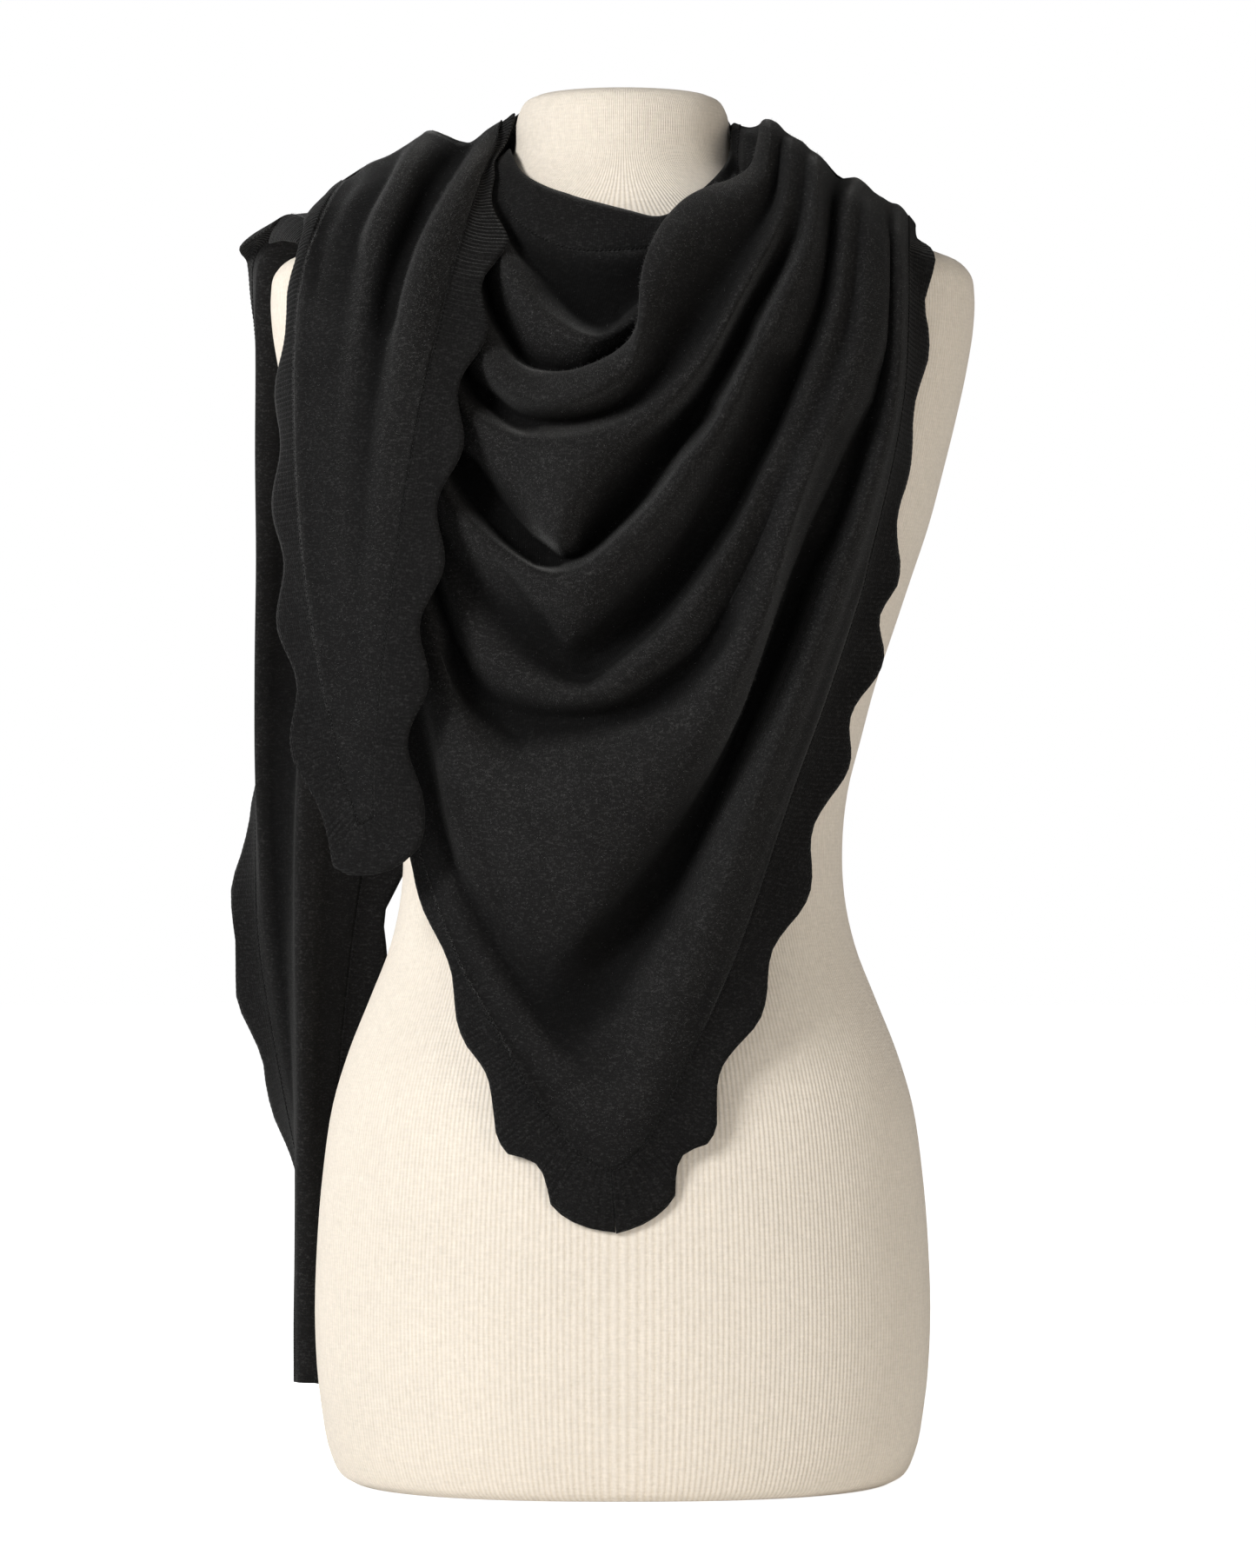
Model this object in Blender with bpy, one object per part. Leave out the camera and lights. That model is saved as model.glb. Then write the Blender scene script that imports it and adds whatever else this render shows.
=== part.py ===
"""Knitted wrap with scalloped bands, wound round a limbless dress form.

The form stands on its flat base at z = 0, centred on the z axis, and faces -y.
The cloth is one long wrap. It comes from its tail behind the left shoulder (x < 0),
over that shoulder, across the front in a cowl of folds with a hanging point, over the
right shoulder, behind the neck, and over the left shoulder again to hang in front.
Each stretch is a wall through rows that follow its folds, and has bands at its edges.
All lengths are in millimetres until a mesh is made.
"""
import math
from collections import namedtuple

import bmesh
import bpy
import numpy as np
from mathutils import Vector
from mathutils.bvhtree import BVHTree

for old_object in list(bpy.data.objects):
    bpy.data.objects.remove(old_object, do_unlink=True)

MM = 0.001
WALL = 2.0
SEAM_GAP = 0.3
CREST_Y = 2.0
BAND_WIDTH = 22.0
SCALLOP_DEPTH = 4.5
CLEARING_ROUNDS = 4
EASING_ROUNDS = 60
EASING_SPREAD = 12
EASING_STEP = 0.5
EASING_SHARE = 0.3
SEAM_EVENING_ROUNDS = 6
TEST_THICKNESS = 1.25
LAYER_GAP = 2.2
LAYER_REACH = 60.0
BAND_TURNING_ROUNDS = 24
BAND_TURNING_STEP = 0.15
BAND_NARROWING = 0.96
SCALLOP_PITCH = 65.0
TIP_EXTRA_WIDTH = 0.66
TIP_SPREAD = 25.0
FORM_CLEARANCE = 1.8
FORM_SEGMENTS = 34
BAND_COLUMNS_PER_STEP = 3
BAND_FOLLOW = 0.7
FORM_COLOUR = (0.86, 0.80, 0.70)
FORM_ROUGHNESS = 0.9
CLOTH_COLOUR = (0.016, 0.015, 0.015)
BAND_COLOUR = (0.014, 0.013, 0.013)
CLOTH_ROUGHNESS = 0.95

# The dress form. A row is a level ring of it.
FormRing = namedtuple("FormRing", "height half_width front back")
FORM_RINGS = (
    FormRing(0, 152, 102, 106),
    FormRing(4, 159, 106, 110),
    FormRing(14, 164, 109, 114),
    FormRing(41, 169.5, 111, 120),
    FormRing(85, 173, 112, 124),
    FormRing(130, 172, 112, 125),
    FormRing(173, 168.5, 112, 122),
    FormRing(210, 163, 110, 115),
    FormRing(240, 154, 107, 105),
    FormRing(270, 142, 102, 94),
    FormRing(300, 130.5, 97, 84),
    FormRing(328, 124.7, 94, 76),
    FormRing(355, 123.6, 92, 73),
    FormRing(385, 126.5, 94, 72),
    FormRing(415, 134, 99, 75),
    FormRing(445, 142, 106, 80),
    FormRing(475, 152, 116, 86),
    FormRing(505, 162, 125, 91),
    FormRing(535, 172, 130, 95),
    FormRing(565, 180, 127, 98),
    FormRing(595, 187.5, 117, 99),
    FormRing(625, 194, 104, 97),
    FormRing(648, 197.5, 95, 94),
    FormRing(665, 198, 89, 91),
    FormRing(675, 196.5, 86, 89),
    FormRing(682, 191, 83, 87),
    FormRing(688, 178, 80, 85),
    FormRing(695, 157, 77, 82),
    FormRing(704, 131, 73, 78),
    FormRing(715, 102, 69, 73),
    FormRing(725, 78, 65, 68),
    FormRing(734, 66, 62, 64),
    FormRing(745, 61.5, 59, 61),
    FormRing(766, 59, 55.5, 57.5),
    FormRing(773, 55.5, 52, 54),
    FormRing(776.5, 49, 45.5, 47.5),
)
TORSO_FULLNESS = 2.4
NECK_FULLNESS = 2.05
NECK_FOOT = 695.0
NECK_START = 740.0

# The shape that the cloth lies on in front: a little wider and deeper than the form,
# and hanging nearly straight down from the bust.
DrapeLevel = namedtuple("DrapeLevel", "height half_width depth")
FRONT_DRAPE = (
    DrapeLevel(140, 190, 120),
    DrapeLevel(200, 185, 123),
    DrapeLevel(250, 170, 126),
    DrapeLevel(300, 160, 128),
    DrapeLevel(350, 158, 130),
    DrapeLevel(400, 162, 132),
    DrapeLevel(450, 168, 137),
    DrapeLevel(500, 175, 142),
    DrapeLevel(530, 181, 144),
    DrapeLevel(560, 188, 142),
    DrapeLevel(600, 198, 133),
    DrapeLevel(640, 205, 120),
    DrapeLevel(680, 202, 102),
    DrapeLevel(690, 190, 96),
    DrapeLevel(700, 160, 90),
    DrapeLevel(713, 128, 80),
    DrapeLevel(724, 100, 74),
    DrapeLevel(735, 78, 68),
    DrapeLevel(745, 68, 64),
    DrapeLevel(765, 66, 61),
)
DRAPE_FULLNESS = 2.3

# The front stretch. A row is a fold's ridge or valley, from the left shoulder's crest
# down to its lowest point and up to the right shoulder's crest, as (x, z) at eleven
# stations: left crest, shoulder, upper, side and low, bottom, right low, side, upper,
# shoulder and crest. The lifts say how far it stands out from the drape shape there.
Fold = namedtuple("Fold", "name left low right top shoulder path")
FRONT_FOLDS = (
    Fold("neck_edge", -6, -9, -8, -6, -8, (
        (-64, 747), (-61, 740), (-57, 731), (-46, 721), (-26, 712.5), (2, 705),
        (20, 701), (38, 712), (54, 729), (60, 744), (62, 762))),
    Fold("neck_seam", -6, -6, -10, -12, -8, (
        (-70, 741), (-67, 722), (-63, 708), (-53, 694), (-30, 682), (2, 681),
        (16, 683), (33, 696), (57, 713), (64, 737), (66, 761))),
    Fold("neck_crease", -10, -16, -12, -14, -8, (
        (-76, 738), (-72, 714), (-66, 700), (-54, 682), (-34, 657), (-10, 640),
        (6, 650), (28, 674), (57, 703), (67, 729), (70, 760))),
    Fold("bulge", 4, 8, -8, -12, -8, (
        (-83, 736), (-77, 706), (-70, 687), (-60, 664), (-42, 640), (-14, 628),
        (6, 640), (30, 659), (57, 692), (71, 722), (74, 760))),
    Fold("bulge_valley", -14, -10, -8, -8, -4, (
        (-89, 733), (-82, 699), (-77, 676), (-68, 642), (-50, 617), (-22, 614),
        (6, 631), (28, 645), (57, 682), (76, 715), (78, 762))),
    Fold("roll_top", 2, 12, 16, 12, 10, (
        (-92, 731), (-85, 695), (-81, 671), (-71, 633), (-49, 611), (-24, 611),
        (5, 630), (12, 676), (33, 710), (71, 731), (81, 764))),
    Fold("collar_roll", 10, 22, 28, 19, 15, (
        (-97, 730), (-89, 690), (-85, 660), (-75, 619), (-51, 598), (-27, 597),
        (3, 612), (13, 654), (40, 697), (76, 722), (86, 763))),
    Fold("valley_1", -6, -2, 2, 2, 5, (
        (-101, 727), (-93, 688), (-89, 655), (-79, 605), (-58, 588), (-32, 584),
        (-2, 592), (28, 625), (58, 670), (83, 714), (91, 758))),
    Fold("ridge_2", 8, 18, 15, 13, 13, (
        (-107, 725), (-98, 685), (-94, 650), (-82, 586), (-58, 573), (-32, 571),
        (4, 582), (37, 610), (66, 658), (89, 707), (97, 754))),
    Fold("tongue", 0, 12, 2, 1, 8, (
        (-112, 723), (-103, 683), (-99, 642), (-84, 570), (-56, 548), (-34, 522),
        (-7, 549), (33, 592), (65, 648), (92, 702), (101, 752))),
    Fold("valley_2", -12, -9, -11, -7, 4, (
        (-117, 721), (-108, 681), (-104, 632), (-86, 553), (-62, 528), (-33, 510),
        (0, 533), (35, 583), (68, 642), (96, 696), (105, 748))),
    Fold("ridge_3", 8, 17, 18, 16, 11, (
        (-123, 719), (-113, 679), (-109, 620), (-88, 535), (-62, 512), (-30, 500),
        (5, 525), (43, 573), (76, 633), (102, 690), (111, 744))),
    Fold("valley_3", 0, -6, -12, -11, -6, (
        (-130, 716), (-119, 676), (-114, 605), (-90, 512), (-58, 475), (-22, 450),
        (10, 475), (48, 528), (84, 588), (109, 657), (122, 731))),
    Fold("ridge_4", 0, 7, 10, 5, 5, (
        (-137, 714), (-124, 674), (-118, 595), (-93, 500), (-66, 455), (-15, 440),
        (18, 464), (52, 508), (84, 570), (116, 645), (132, 731.5))),
    Fold("valley_4", -9, -6, 1, 4, 2, (
        (-144, 712), (-129, 671), (-122, 585), (-97, 485), (-72, 435), (-8, 428),
        (28, 449), (60, 492), (90, 560), (122, 639), (137, 728))),
    Fold("ridge_5", 4, 11, 15, 12, 8, (
        (-151, 710), (-134, 668), (-126, 575), (-100, 470), (-70, 405), (-15, 405),
        (30, 425), (64, 475), (96, 552), (128, 632), (142, 723))),
    Fold("broad_face", 5, 9, 8, 2, 2, (
        (-158, 710), (-136, 664), (-129, 565), (-106, 450), (-75, 350), (-25, 335),
        (20, 372), (56, 412), (97, 517), (136, 617), (147, 720))),
    Fold("valley_5", 0, -6, -13, -11, -5, (
        (-166, 709.5), (-140, 660), (-133, 556), (-110, 430), (-70, 305), (-35, 268),
        (5, 302), (50, 385), (98, 503), (140, 612), (151, 717.5))),
    Fold("ridge_6", 4, 7, 13, 11, 6, (
        (-175, 711.5), (-144, 656), (-137, 548), (-116, 412), (-57, 280), (-8, 215),
        (30, 285), (74, 390), (115, 500), (148, 606), (155, 716.5))),
    Fold("hem_seam", 0, 2, 2, 2, 1, (
        (-187, 710.5), (-148, 652), (-141, 540), (-122, 397), (-68, 258), (-6, 182),
        (45, 262), (93, 390), (130, 500), (153, 603), (161, 710))),
)
LEFT_FLATTENING = (0, 7, 6, 0, 0, 0, 0, 0, 0, 0, 0)
FOLD_STEPS = 2
WIDE_FOLD_STEPS = 3
WIDE_FOLDS = ("ridge_5", "broad_face", "valley_5", "ridge_6")
FRONT_COLUMNS_PER_STATION = (2, 2, 2, 3, 4, 4, 4, 4, 4, 3, 2, 2)
TIP_COLUMN = sum(FRONT_COLUMNS_PER_STATION[:6])
# The share of the left lift at the stations between the left crest and the side.
LEFT_LIFT_SHARES = (0.0, 0.3, 0.7)
# How far a point where the cloth rounds the shoulder is from the crest, in x, y and z.
ROUNDING_SHARES = (0.45, 0.62, 0.24)

# How much of the hem band shows along the front hem, from the left crest to the right
# one: the rest is turned under. The stations count the point where the cloth rounds
# the shoulder too.
Showing = namedtuple("Showing", "station share")
HEM_SHOWING = (
    Showing(0.0, 0.75),
    Showing(1.0, 0.5),
    Showing(4.0, 0.6),
    Showing(4.4, 0.4),
    Showing(4.75, 0.45),
    Showing(5.1, 1.1),
    Showing(5.5, 1.3),
    Showing(6.0, 0.95),
    Showing(6.5, 1.25),
    Showing(7.0, 1.05),
    Showing(7.5, 1.15),
    Showing(8.6, 1.2),
    Showing(9.6, 0.85),
    Showing(10.2, 0.7),
    Showing(11.0, 0.8),
    Showing(11.6, 0.5),
    Showing(12.0, 0.25),
)
# How far from the point's corner the scallops' peaks lie along its two edges.
RIGHT_PEAKS = (13, 46, 110, 177, 246, 307, 357)
LEFT_PEAKS = (14, 47, 115, 180)
# How the left hem band lies at the left crest and the two columns after it.
LEFT_CREST_TURN = ((-0.62, 0.00, -0.78), (-0.72, -0.10, -0.68), (-0.85, -0.10, -0.50))
# What eases the right hem band outwards from its panel's run, at the same stations.
HemTurn = namedtuple("HemTurn", "station x y z")
RIGHT_HEM_TURNS = (
    HemTurn(6.0, 0.0, 0.0, 0.0),
    HemTurn(6.8, 0.3, -0.2, -0.3),
    HemTurn(8.0, 1.2, -0.4, 0.1),
    HemTurn(8.8, 1.2, -0.3, 0.1),
    HemTurn(9.6, 0.2, 0.0, 0.0),
    HemTurn(10.2, 0.4, 0.2, 0.0),
    HemTurn(11.0, 0.8, 0.2, -0.1),
    HemTurn(12.0, 0.2, 0.0, -0.4),
)

# The shape that the over panel hangs on in front of the left shoulder.
HangLevel = namedtuple("HangLevel", "height depth sweep")
OVER_DRAPE = (
    HangLevel(320, 134, 0.0055),
    HangLevel(350, 137, 0.0055),
    HangLevel(400, 142, 0.0055),
    HangLevel(450, 149, 0.0055),
    HangLevel(500, 155, 0.0055),
    HangLevel(550, 156, 0.0055),
    HangLevel(600, 148, 0.0055),
    HangLevel(650, 129, 0.0045),
    HangLevel(680, 108, 0.0034),
    HangLevel(700, 89, 0.0032),
    HangLevel(720, 60, 0.0032),
    HangLevel(740, 29, 0.0020),
    HangLevel(760, 2, 0.0),
)
OVER_INNER_SIDE = 85.0

# The over panel. A row is one of its folds or seams, from the left shoulder's crest
# down to its end, as (x, z) at each station.
Strip = namedtuple("Strip", "name lift path")
OVER_FOLDS = (
    Strip("inner_seam", 0, (
        (-67, 763), (-78, 729), (-87, 690), (-97, 645), (-109, 585), (-122, 500),
        (-131, 430), (-134, 392), (-134.0, 372.0))),
    Strip("inner_fold", 8, (
        (-74, 757), (-88, 724), (-102, 690), (-114, 650), (-124, 590), (-134, 500),
        (-138, 430), (-138, 392), (-135.4, 371.2))),
    Strip("inner_groove", -6, (
        (-86, 751), (-98, 721), (-113, 686), (-125, 646), (-134, 588), (-141, 500),
        (-142, 430), (-141, 392), (-136.6, 370.6))),
    Strip("shoulder_fold", 6, (
        (-110, 758), (-122, 727), (-133, 698), (-141, 650), (-147, 590), (-149, 500),
        (-146, 430), (-143, 392), (-137.8, 370.0))),
    Strip("shoulder_groove", -3, (
        (-120, 749), (-130, 721), (-142, 692), (-150, 648), (-155, 589), (-156, 500),
        (-150, 430), (-145, 392), (-139.0, 369.4))),
    Strip("face", 1, (
        (-142, 740), (-150, 714), (-160, 686), (-165, 646), (-167, 588), (-163, 500),
        (-154, 430), (-147.5, 392), (-140.2, 368.7))),
    Strip("outer_seam", 0, (
        (-158, 730), (-167, 703), (-173, 680), (-177, 645), (-177, 585), (-170, 500),
        (-158, 430), (-150, 392), (-141.4, 368.0))),
)
OVER_INNER_FADE = (1.0, 1.0, 1.0, 0.85, 0.4, 0.1, 0.0, 0.0, 0.0)
OVER_SHOULDER_FADE = (1.0, 1.0, 0.7, 0.25, 0.05, 0.0, 0.0, 0.0, 0.0)
OVER_COLUMNS_PER_STATION = (2, 2, 2, 2, 3, 3, 2, 2)
OVER_STEPS = 2
OVER_INNER_PEAK = 61.8
OVER_OUTER_PEAK = 45.5
FRONT_WALLS = ("front_panel", "front_neck_band", "front_hem_band_left")

# How the over panel's bands lie, at the same stations: direction, and width in bands.
BandTurn = namedtuple("BandTurn", "x y z width")
OVER_INNER_TURNS = (
    BandTurn(0.80, 0.00, 0.60, 0.35),
    BandTurn(0.60, 0.70, 0.35, 0.45),
    BandTurn(0.95, 0.20, 0.10, 1.00),
    BandTurn(0.96, -0.10, -0.08, 1.00),
    BandTurn(0.97, -0.10, -0.12, 1.00),
    BandTurn(0.98, -0.15, -0.10, 1.00),
    BandTurn(0.99, -0.10, -0.05, 1.00),
    BandTurn(0.99, -0.05, -0.10, 1.05),
    BandTurn(0.62, 0.00, -0.78, 1.25),
)
OVER_OUTER_TURNS = (
    BandTurn(-0.50, 0.00, -0.87, 0.75),
    BandTurn(-0.75, 0.05, -0.66, 0.55),
    BandTurn(-0.40, 0.75, -0.50, 0.40),
    BandTurn(-0.45, 0.85, -0.25, 0.65),
    BandTurn(-0.50, 0.86, -0.05, 0.90),
    BandTurn(-0.75, 0.66, -0.05, 1.00),
    BandTurn(-0.92, 0.35, -0.15, 1.05),
    BandTurn(-0.85, 0.10, -0.50, 1.10),
    BandTurn(-0.20, 0.00, -1.00, 1.25),
)

# The shape that the cloth lies on across the upper back.
BACK_DRAPE = (
    DrapeLevel(460, 176, 96),
    DrapeLevel(520, 180, 103),
    DrapeLevel(560, 190, 108),
    DrapeLevel(600, 198, 111),
    DrapeLevel(640, 205, 109),
    DrapeLevel(680, 202, 101),
    DrapeLevel(690, 190, 97),
    DrapeLevel(700, 160, 92),
    DrapeLevel(713, 128, 87),
    DrapeLevel(724, 100, 81),
    DrapeLevel(735, 80, 75),
    DrapeLevel(745, 70, 70),
    DrapeLevel(765, 68, 67),
)
# Stations across the back from the right crest to the left one: the share of the way
# along and across, and the least distance behind the crest.
BackStation = namedtuple("BackStation", "along across least_y over_tail")
BACK_STATIONS = (
    BackStation(0.00, 0.00, CREST_Y, 0),
    BackStation(0.08, 0.03, 24, 0),
    BackStation(0.21, 0.15, 44, 0),
    BackStation(0.36, 0.33, 58, 0),
    BackStation(0.50, 0.50, 62, 2),
    BackStation(0.64, 0.67, 60, 7),
    BackStation(0.79, 0.85, 50, 9),
    BackStation(0.92, 0.97, 34, 9),
    BackStation(1.00, 1.00, CREST_Y, 0),
)
BACK_COLUMNS_PER_STATION = (3, 3, 2, 2, 2, 2, 3, 3)
BACK_ROWS = 16
SOFT_RIGHT_CREST = (
    (66, CREST_Y, 758), (82, CREST_Y, 760), (105, CREST_Y, 750), (130, CREST_Y, 732),
    (147, CREST_Y, 722), (161, CREST_Y, 710),
)
CREST_FADE = 0.12
BACK_NECK_SAG = 3.0
BACK_HEM_SAG = 180.0
BACK_FOLDS = 5.0
BACK_FOLD_DEPTH = 5.0
BACK_SAG_POWER = 0.9
BACK_BAND_PEAK = 52.0
BACK_NECK_SHOWING = (
    Showing(0.0, 0.2),
    Showing(1.0, 0.5),
    Showing(2.0, 0.75),
    Showing(6.0, 0.75),
    Showing(7.0, 0.55),
    Showing(8.0, 0.35),
)
BACK_BAND_SHOWING = (
    Showing(0.0, 0.3),
    Showing(1.0, 0.7),
    Showing(2.0, 1.0),
    Showing(8.0, 1.0),
)
NECK_BAND_AT_RIGHT = (-0.95, 0.0, 0.30)
TAIL_WALLS = ("tail_panel", "tail_inner_band", "tail_outer_band")

# The tail. A row is one of its seams or folds; each station is a level below the
# shoulder, with its height, and the rows give their (x, y) there.
TAIL_HEIGHTS = (640, 520, 400, 300, 200, 125, 84)
TAIL_ROWS = (
    Strip("inner_seam", 0.0, (
        (-88, 80), (-115, 90), (-140, 92), (-157, 88), (-167, 86), (-173, 81), (-175, 78))),
    Strip("inner_face", 0.3, (
        (-120, 74), (-142, 86), (-163, 86), (-172, 80), (-176, 80), (-178, 78), (-179, 77))),
    Strip("fold", 0.6, (
        (-153, 66), (-170, 80), (-186, 76), (-187, 70), (-186, 74), (-187, 77), (-187, 77))),
    Strip("groove", 0.68, (
        (-163, 66), (-179, 84), (-190, 86), (-192, 82), (-189.5, 80), (-189.5, 81.5), (-189.5, 81))),
    Strip("outer_face", 0.84, (
        (-188, 62), (-199, 80), (-203, 91), (-199, 91), (-190.5, 85), (-190, 84), (-190.5, 83))),
    Strip("outer_fold", 0.94, (
        (-210, 57), (-211, 75), (-213, 90), (-207, 92), (-192, 89), (-186, 89), (-186, 88))),
    Strip("outer_seam", 1.0, (
        (-211, 72), (-211, 91), (-213, 101), (-212, 99), (-195, 96), (-182, 95), (-181, 94))),
)
TAIL_COLUMNS_PER_STATION = (2, 2, 2, 2, 2, 2, 2, 1)
TAIL_STEPS = (2, 2, 1, 1, 2, 2)
TAIL_INNER_PEAK = 58.5
TAIL_OUTER_PEAK = 32.5
# How far the point behind the shoulder's top is from the crest, in x, y and z.
TAIL_ROUNDING_SHARES = (0.45, 0.7, 0.3)
TAIL_INNER_TURNS = (
    BandTurn(0.40, 0.00, 0.90, 0.60),
    BandTurn(0.90, 0.10, 0.35, 0.80),
    BandTurn(0.99, 0.05, -0.10, 1.00),
    BandTurn(0.99, 0.00, -0.10, 1.00),
    BandTurn(0.99, 0.00, -0.15, 1.00),
    BandTurn(0.97, 0.05, -0.20, 0.90),
    BandTurn(0.90, 0.10, -0.40, 0.60),
    BandTurn(0.55, 0.10, -0.82, 0.70),
    BandTurn(0.25, 0.05, -0.96, 0.90),
)
TAIL_OUTER_TURNS = (
    BandTurn(-0.62, 0.00, -0.78, 0.75),
    BandTurn(-0.20, 0.90, -0.40, 0.80),
    BandTurn(-0.05, 1.00, 0.00, 1.00),
    BandTurn(-0.05, 1.00, 0.00, 1.00),
    BandTurn(-0.10, 0.99, -0.05, 1.00),
    BandTurn(-0.98, 0.15, -0.10, 1.00),
    BandTurn(-0.45, 0.80, -0.40, 0.90),
    BandTurn(-0.20, 0.80, -0.50, 0.80),
    BandTurn(0.00, 0.30, -0.90, 1.10),
)


def smooth_through(points, places):
    """A smooth curve through points at whole numbers, read at the given places.

    The tangents weigh the chords on each side, so uneven spacing makes no bulge.
    """
    pts = np.asarray(points, float)
    places = np.asarray(places, float)
    last = len(pts) - 1
    chord = np.linalg.norm(np.diff(pts, axis=0), axis=-1)[..., None] + 1e-6
    slope = np.diff(pts, axis=0) / chord
    speed = np.empty_like(pts)
    speed[0] = slope[0]
    speed[-1] = slope[-1]
    speed[1:-1] = (slope[:-1] * chord[1:] + slope[1:] * chord[:-1]) / (chord[:-1] + chord[1:])
    seg = np.clip(places.astype(int), 0, last - 1)
    t = (places - seg).reshape((-1,) + (1,) * (pts.ndim - 1))
    span = chord[seg]
    h00 = 2 * t ** 3 - 3 * t ** 2 + 1
    h10 = t ** 3 - 2 * t ** 2 + t
    h01 = 3 * t ** 2 - 2 * t ** 3
    h11 = t ** 3 - t ** 2
    return (h00 * pts[seg] + h10 * span * speed[seg]
            + h01 * pts[seg + 1] + h11 * span * speed[seg + 1])


def column(rows, name):
    """One named column of a table."""
    return np.array([getattr(row, name) for row in rows], float)


def form_fullness(height):
    """The superellipse power of the form's ring at a height."""
    return float(np.interp(height, (NECK_FOOT, NECK_START), (TORSO_FULLNESS, NECK_FULLNESS)))


def form_ring(ring):
    """The points of one level ring of the form."""
    power = 2.0 / form_fullness(ring.height)
    points = []
    for step in range(FORM_SEGMENTS):
        angle = 2.0 * math.pi * step / FORM_SEGMENTS
        cosine = math.cos(angle)
        sine = math.sin(angle)
        depth = ring.back if sine > 0 else ring.front
        points.append((
            ring.half_width * math.copysign(abs(cosine) ** power, cosine),
            depth * math.copysign(abs(sine) ** power, sine),
            ring.height,
        ))
    return points


def new_object(name, vertices, faces, colour, roughness):
    """A closed mesh object with its own material; vertices in millimetres."""
    mesh = bpy.data.meshes.new(name)
    mesh.from_pydata([tuple(float(c) * MM for c in v) for v in vertices], [], faces)
    mesh.validate()
    shape = bmesh.new()
    shape.from_mesh(mesh)
    bmesh.ops.recalc_face_normals(shape, faces=shape.faces)
    bmesh.ops.triangulate(shape, faces=shape.faces)
    shape.to_mesh(mesh)
    shape.free()
    mesh.shade_smooth()
    material = bpy.data.materials.new(name + "_material")
    material.use_nodes = True
    surface = material.node_tree.nodes["Principled BSDF"]
    surface.inputs["Base Color"].default_value = (*colour, 1.0)
    surface.inputs["Roughness"].default_value = roughness
    surface.inputs["Metallic"].default_value = 0.0
    mesh.materials.append(material)
    made = bpy.data.objects.new(name, mesh)
    bpy.context.scene.collection.objects.link(made)
    return made


def build_form():
    """The dress form: rings from the flat base to the rounded rim of the neck."""
    vertices = []
    for ring in FORM_RINGS:
        vertices += form_ring(ring)
    count = FORM_SEGMENTS
    faces = []
    for level in range(len(FORM_RINGS) - 1):
        for step in range(count):
            after = (step + 1) % count
            low = level * count
            faces.append((low + step, low + after, low + count + after, low + count + step))
    base = len(vertices)
    vertices.append((0.0, 0.0, FORM_RINGS[0].height))
    vertices.append((0.0, 0.0, FORM_RINGS[-1].height))
    top = (len(FORM_RINGS) - 1) * count
    for step in range(count):
        after = (step + 1) % count
        faces.append((after, step, base))
        faces.append((top + step, top + after, base + 1))
    new_object("dress_form", vertices, faces, FORM_COLOUR, FORM_ROUGHNESS)
    triangles = []
    for face in faces:
        for corner in range(1, len(face) - 1):
            triangles.append((face[0], face[corner], face[corner + 1]))
    return BVHTree.FromPolygons([Vector(v) for v in vertices], triangles)


def unit(values):
    """Vectors of length one."""
    return values / (np.linalg.norm(values, axis=-1)[..., None] + 1e-9)


def clear_of_form(points, gap, under=()):
    """Moves points out until their wall stands clear of the form and of the walls on it."""
    moved = points.copy()
    gap = np.broadcast_to(gap, points.shape[:-1])
    for index in np.ndindex(points.shape[:-1]):
        point = Vector(points[index])
        spot, normal, face, distance = form_surface.find_nearest(point)
        outside = (point - spot).dot(normal) > 0.0
        height = distance if outside else -distance
        reach = gap[index] + WALL / 2.0
        for name in under:
            far = spot + normal * LAYER_REACH
            hit, side, face, depth = walls[name].ray_cast(far, -normal, LAYER_REACH)
            if hit is not None:
                reach = max(reach, LAYER_REACH - depth + LAYER_GAP + WALL / 2.0)
        if height < reach:
            moved[index] = np.array(spot + normal * reach)
    return moved


def clear_sheet(grid, gap, under=(), rounds=CLEARING_ROUNDS):
    """Clears a sheet's points and the middles of its cells and edges; its ends keep their y."""
    grid = grid.copy()
    ends = grid[:, (0, -1), 1].copy()
    for _ in range(rounds):
        grid = clear_of_form(grid, gap, under)
        for down, right in ((1, 0), (0, 1), (1, 1)):
            here = grid[:grid.shape[0] - down, :grid.shape[1] - right]
            there = grid[down:, right:]
            middle = (here + there) / 2.0
            push = clear_of_form(middle, gap, under) - middle
            grid[:grid.shape[0] - down, :grid.shape[1] - right] += push
            grid[down:, right:] += push
        grid[:, (0, -1), 1] = ends
    return grid


def shell_tree(grid, normals, wall):
    """The triangles of a sheet's wall, and a search tree of them."""
    vertices, faces = wall_shell(grid, normals, wall)
    triangles = triangles_of(faces)
    return triangles, BVHTree.FromPolygons([Vector(v) for v in vertices], triangles)


def crossing_points(grid, normals):
    """Which points' outer and inner sides belong to parts of a wall that touch each other."""
    touching = np.zeros(2 * grid.shape[0] * grid.shape[1], bool)
    for wall in (WALL, WALL * TEST_THICKNESS):
        triangles, tree = shell_tree(grid, normals, wall)
        for one, other in tree.overlap(tree):
            if one < other and not set(triangles[one]) & set(triangles[other]):
                touching[list(triangles[one] + triangles[other])] = True
    return touching.reshape((2,) + grid.shape[:2])


def pressed_points(grid, normals, others):
    """Which points of a sheet belong to parts of its wall that cut other solids."""
    triangles, tree = shell_tree(grid, normals, WALL * TEST_THICKNESS)
    pressed = np.zeros(grid.shape[0] * grid.shape[1], bool)
    for other in others:
        for one, _ in tree.overlap(other):
            for corner in triangles[one]:
                pressed[corner % len(pressed)] = True
    return pressed.reshape(grid.shape[:2])


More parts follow.
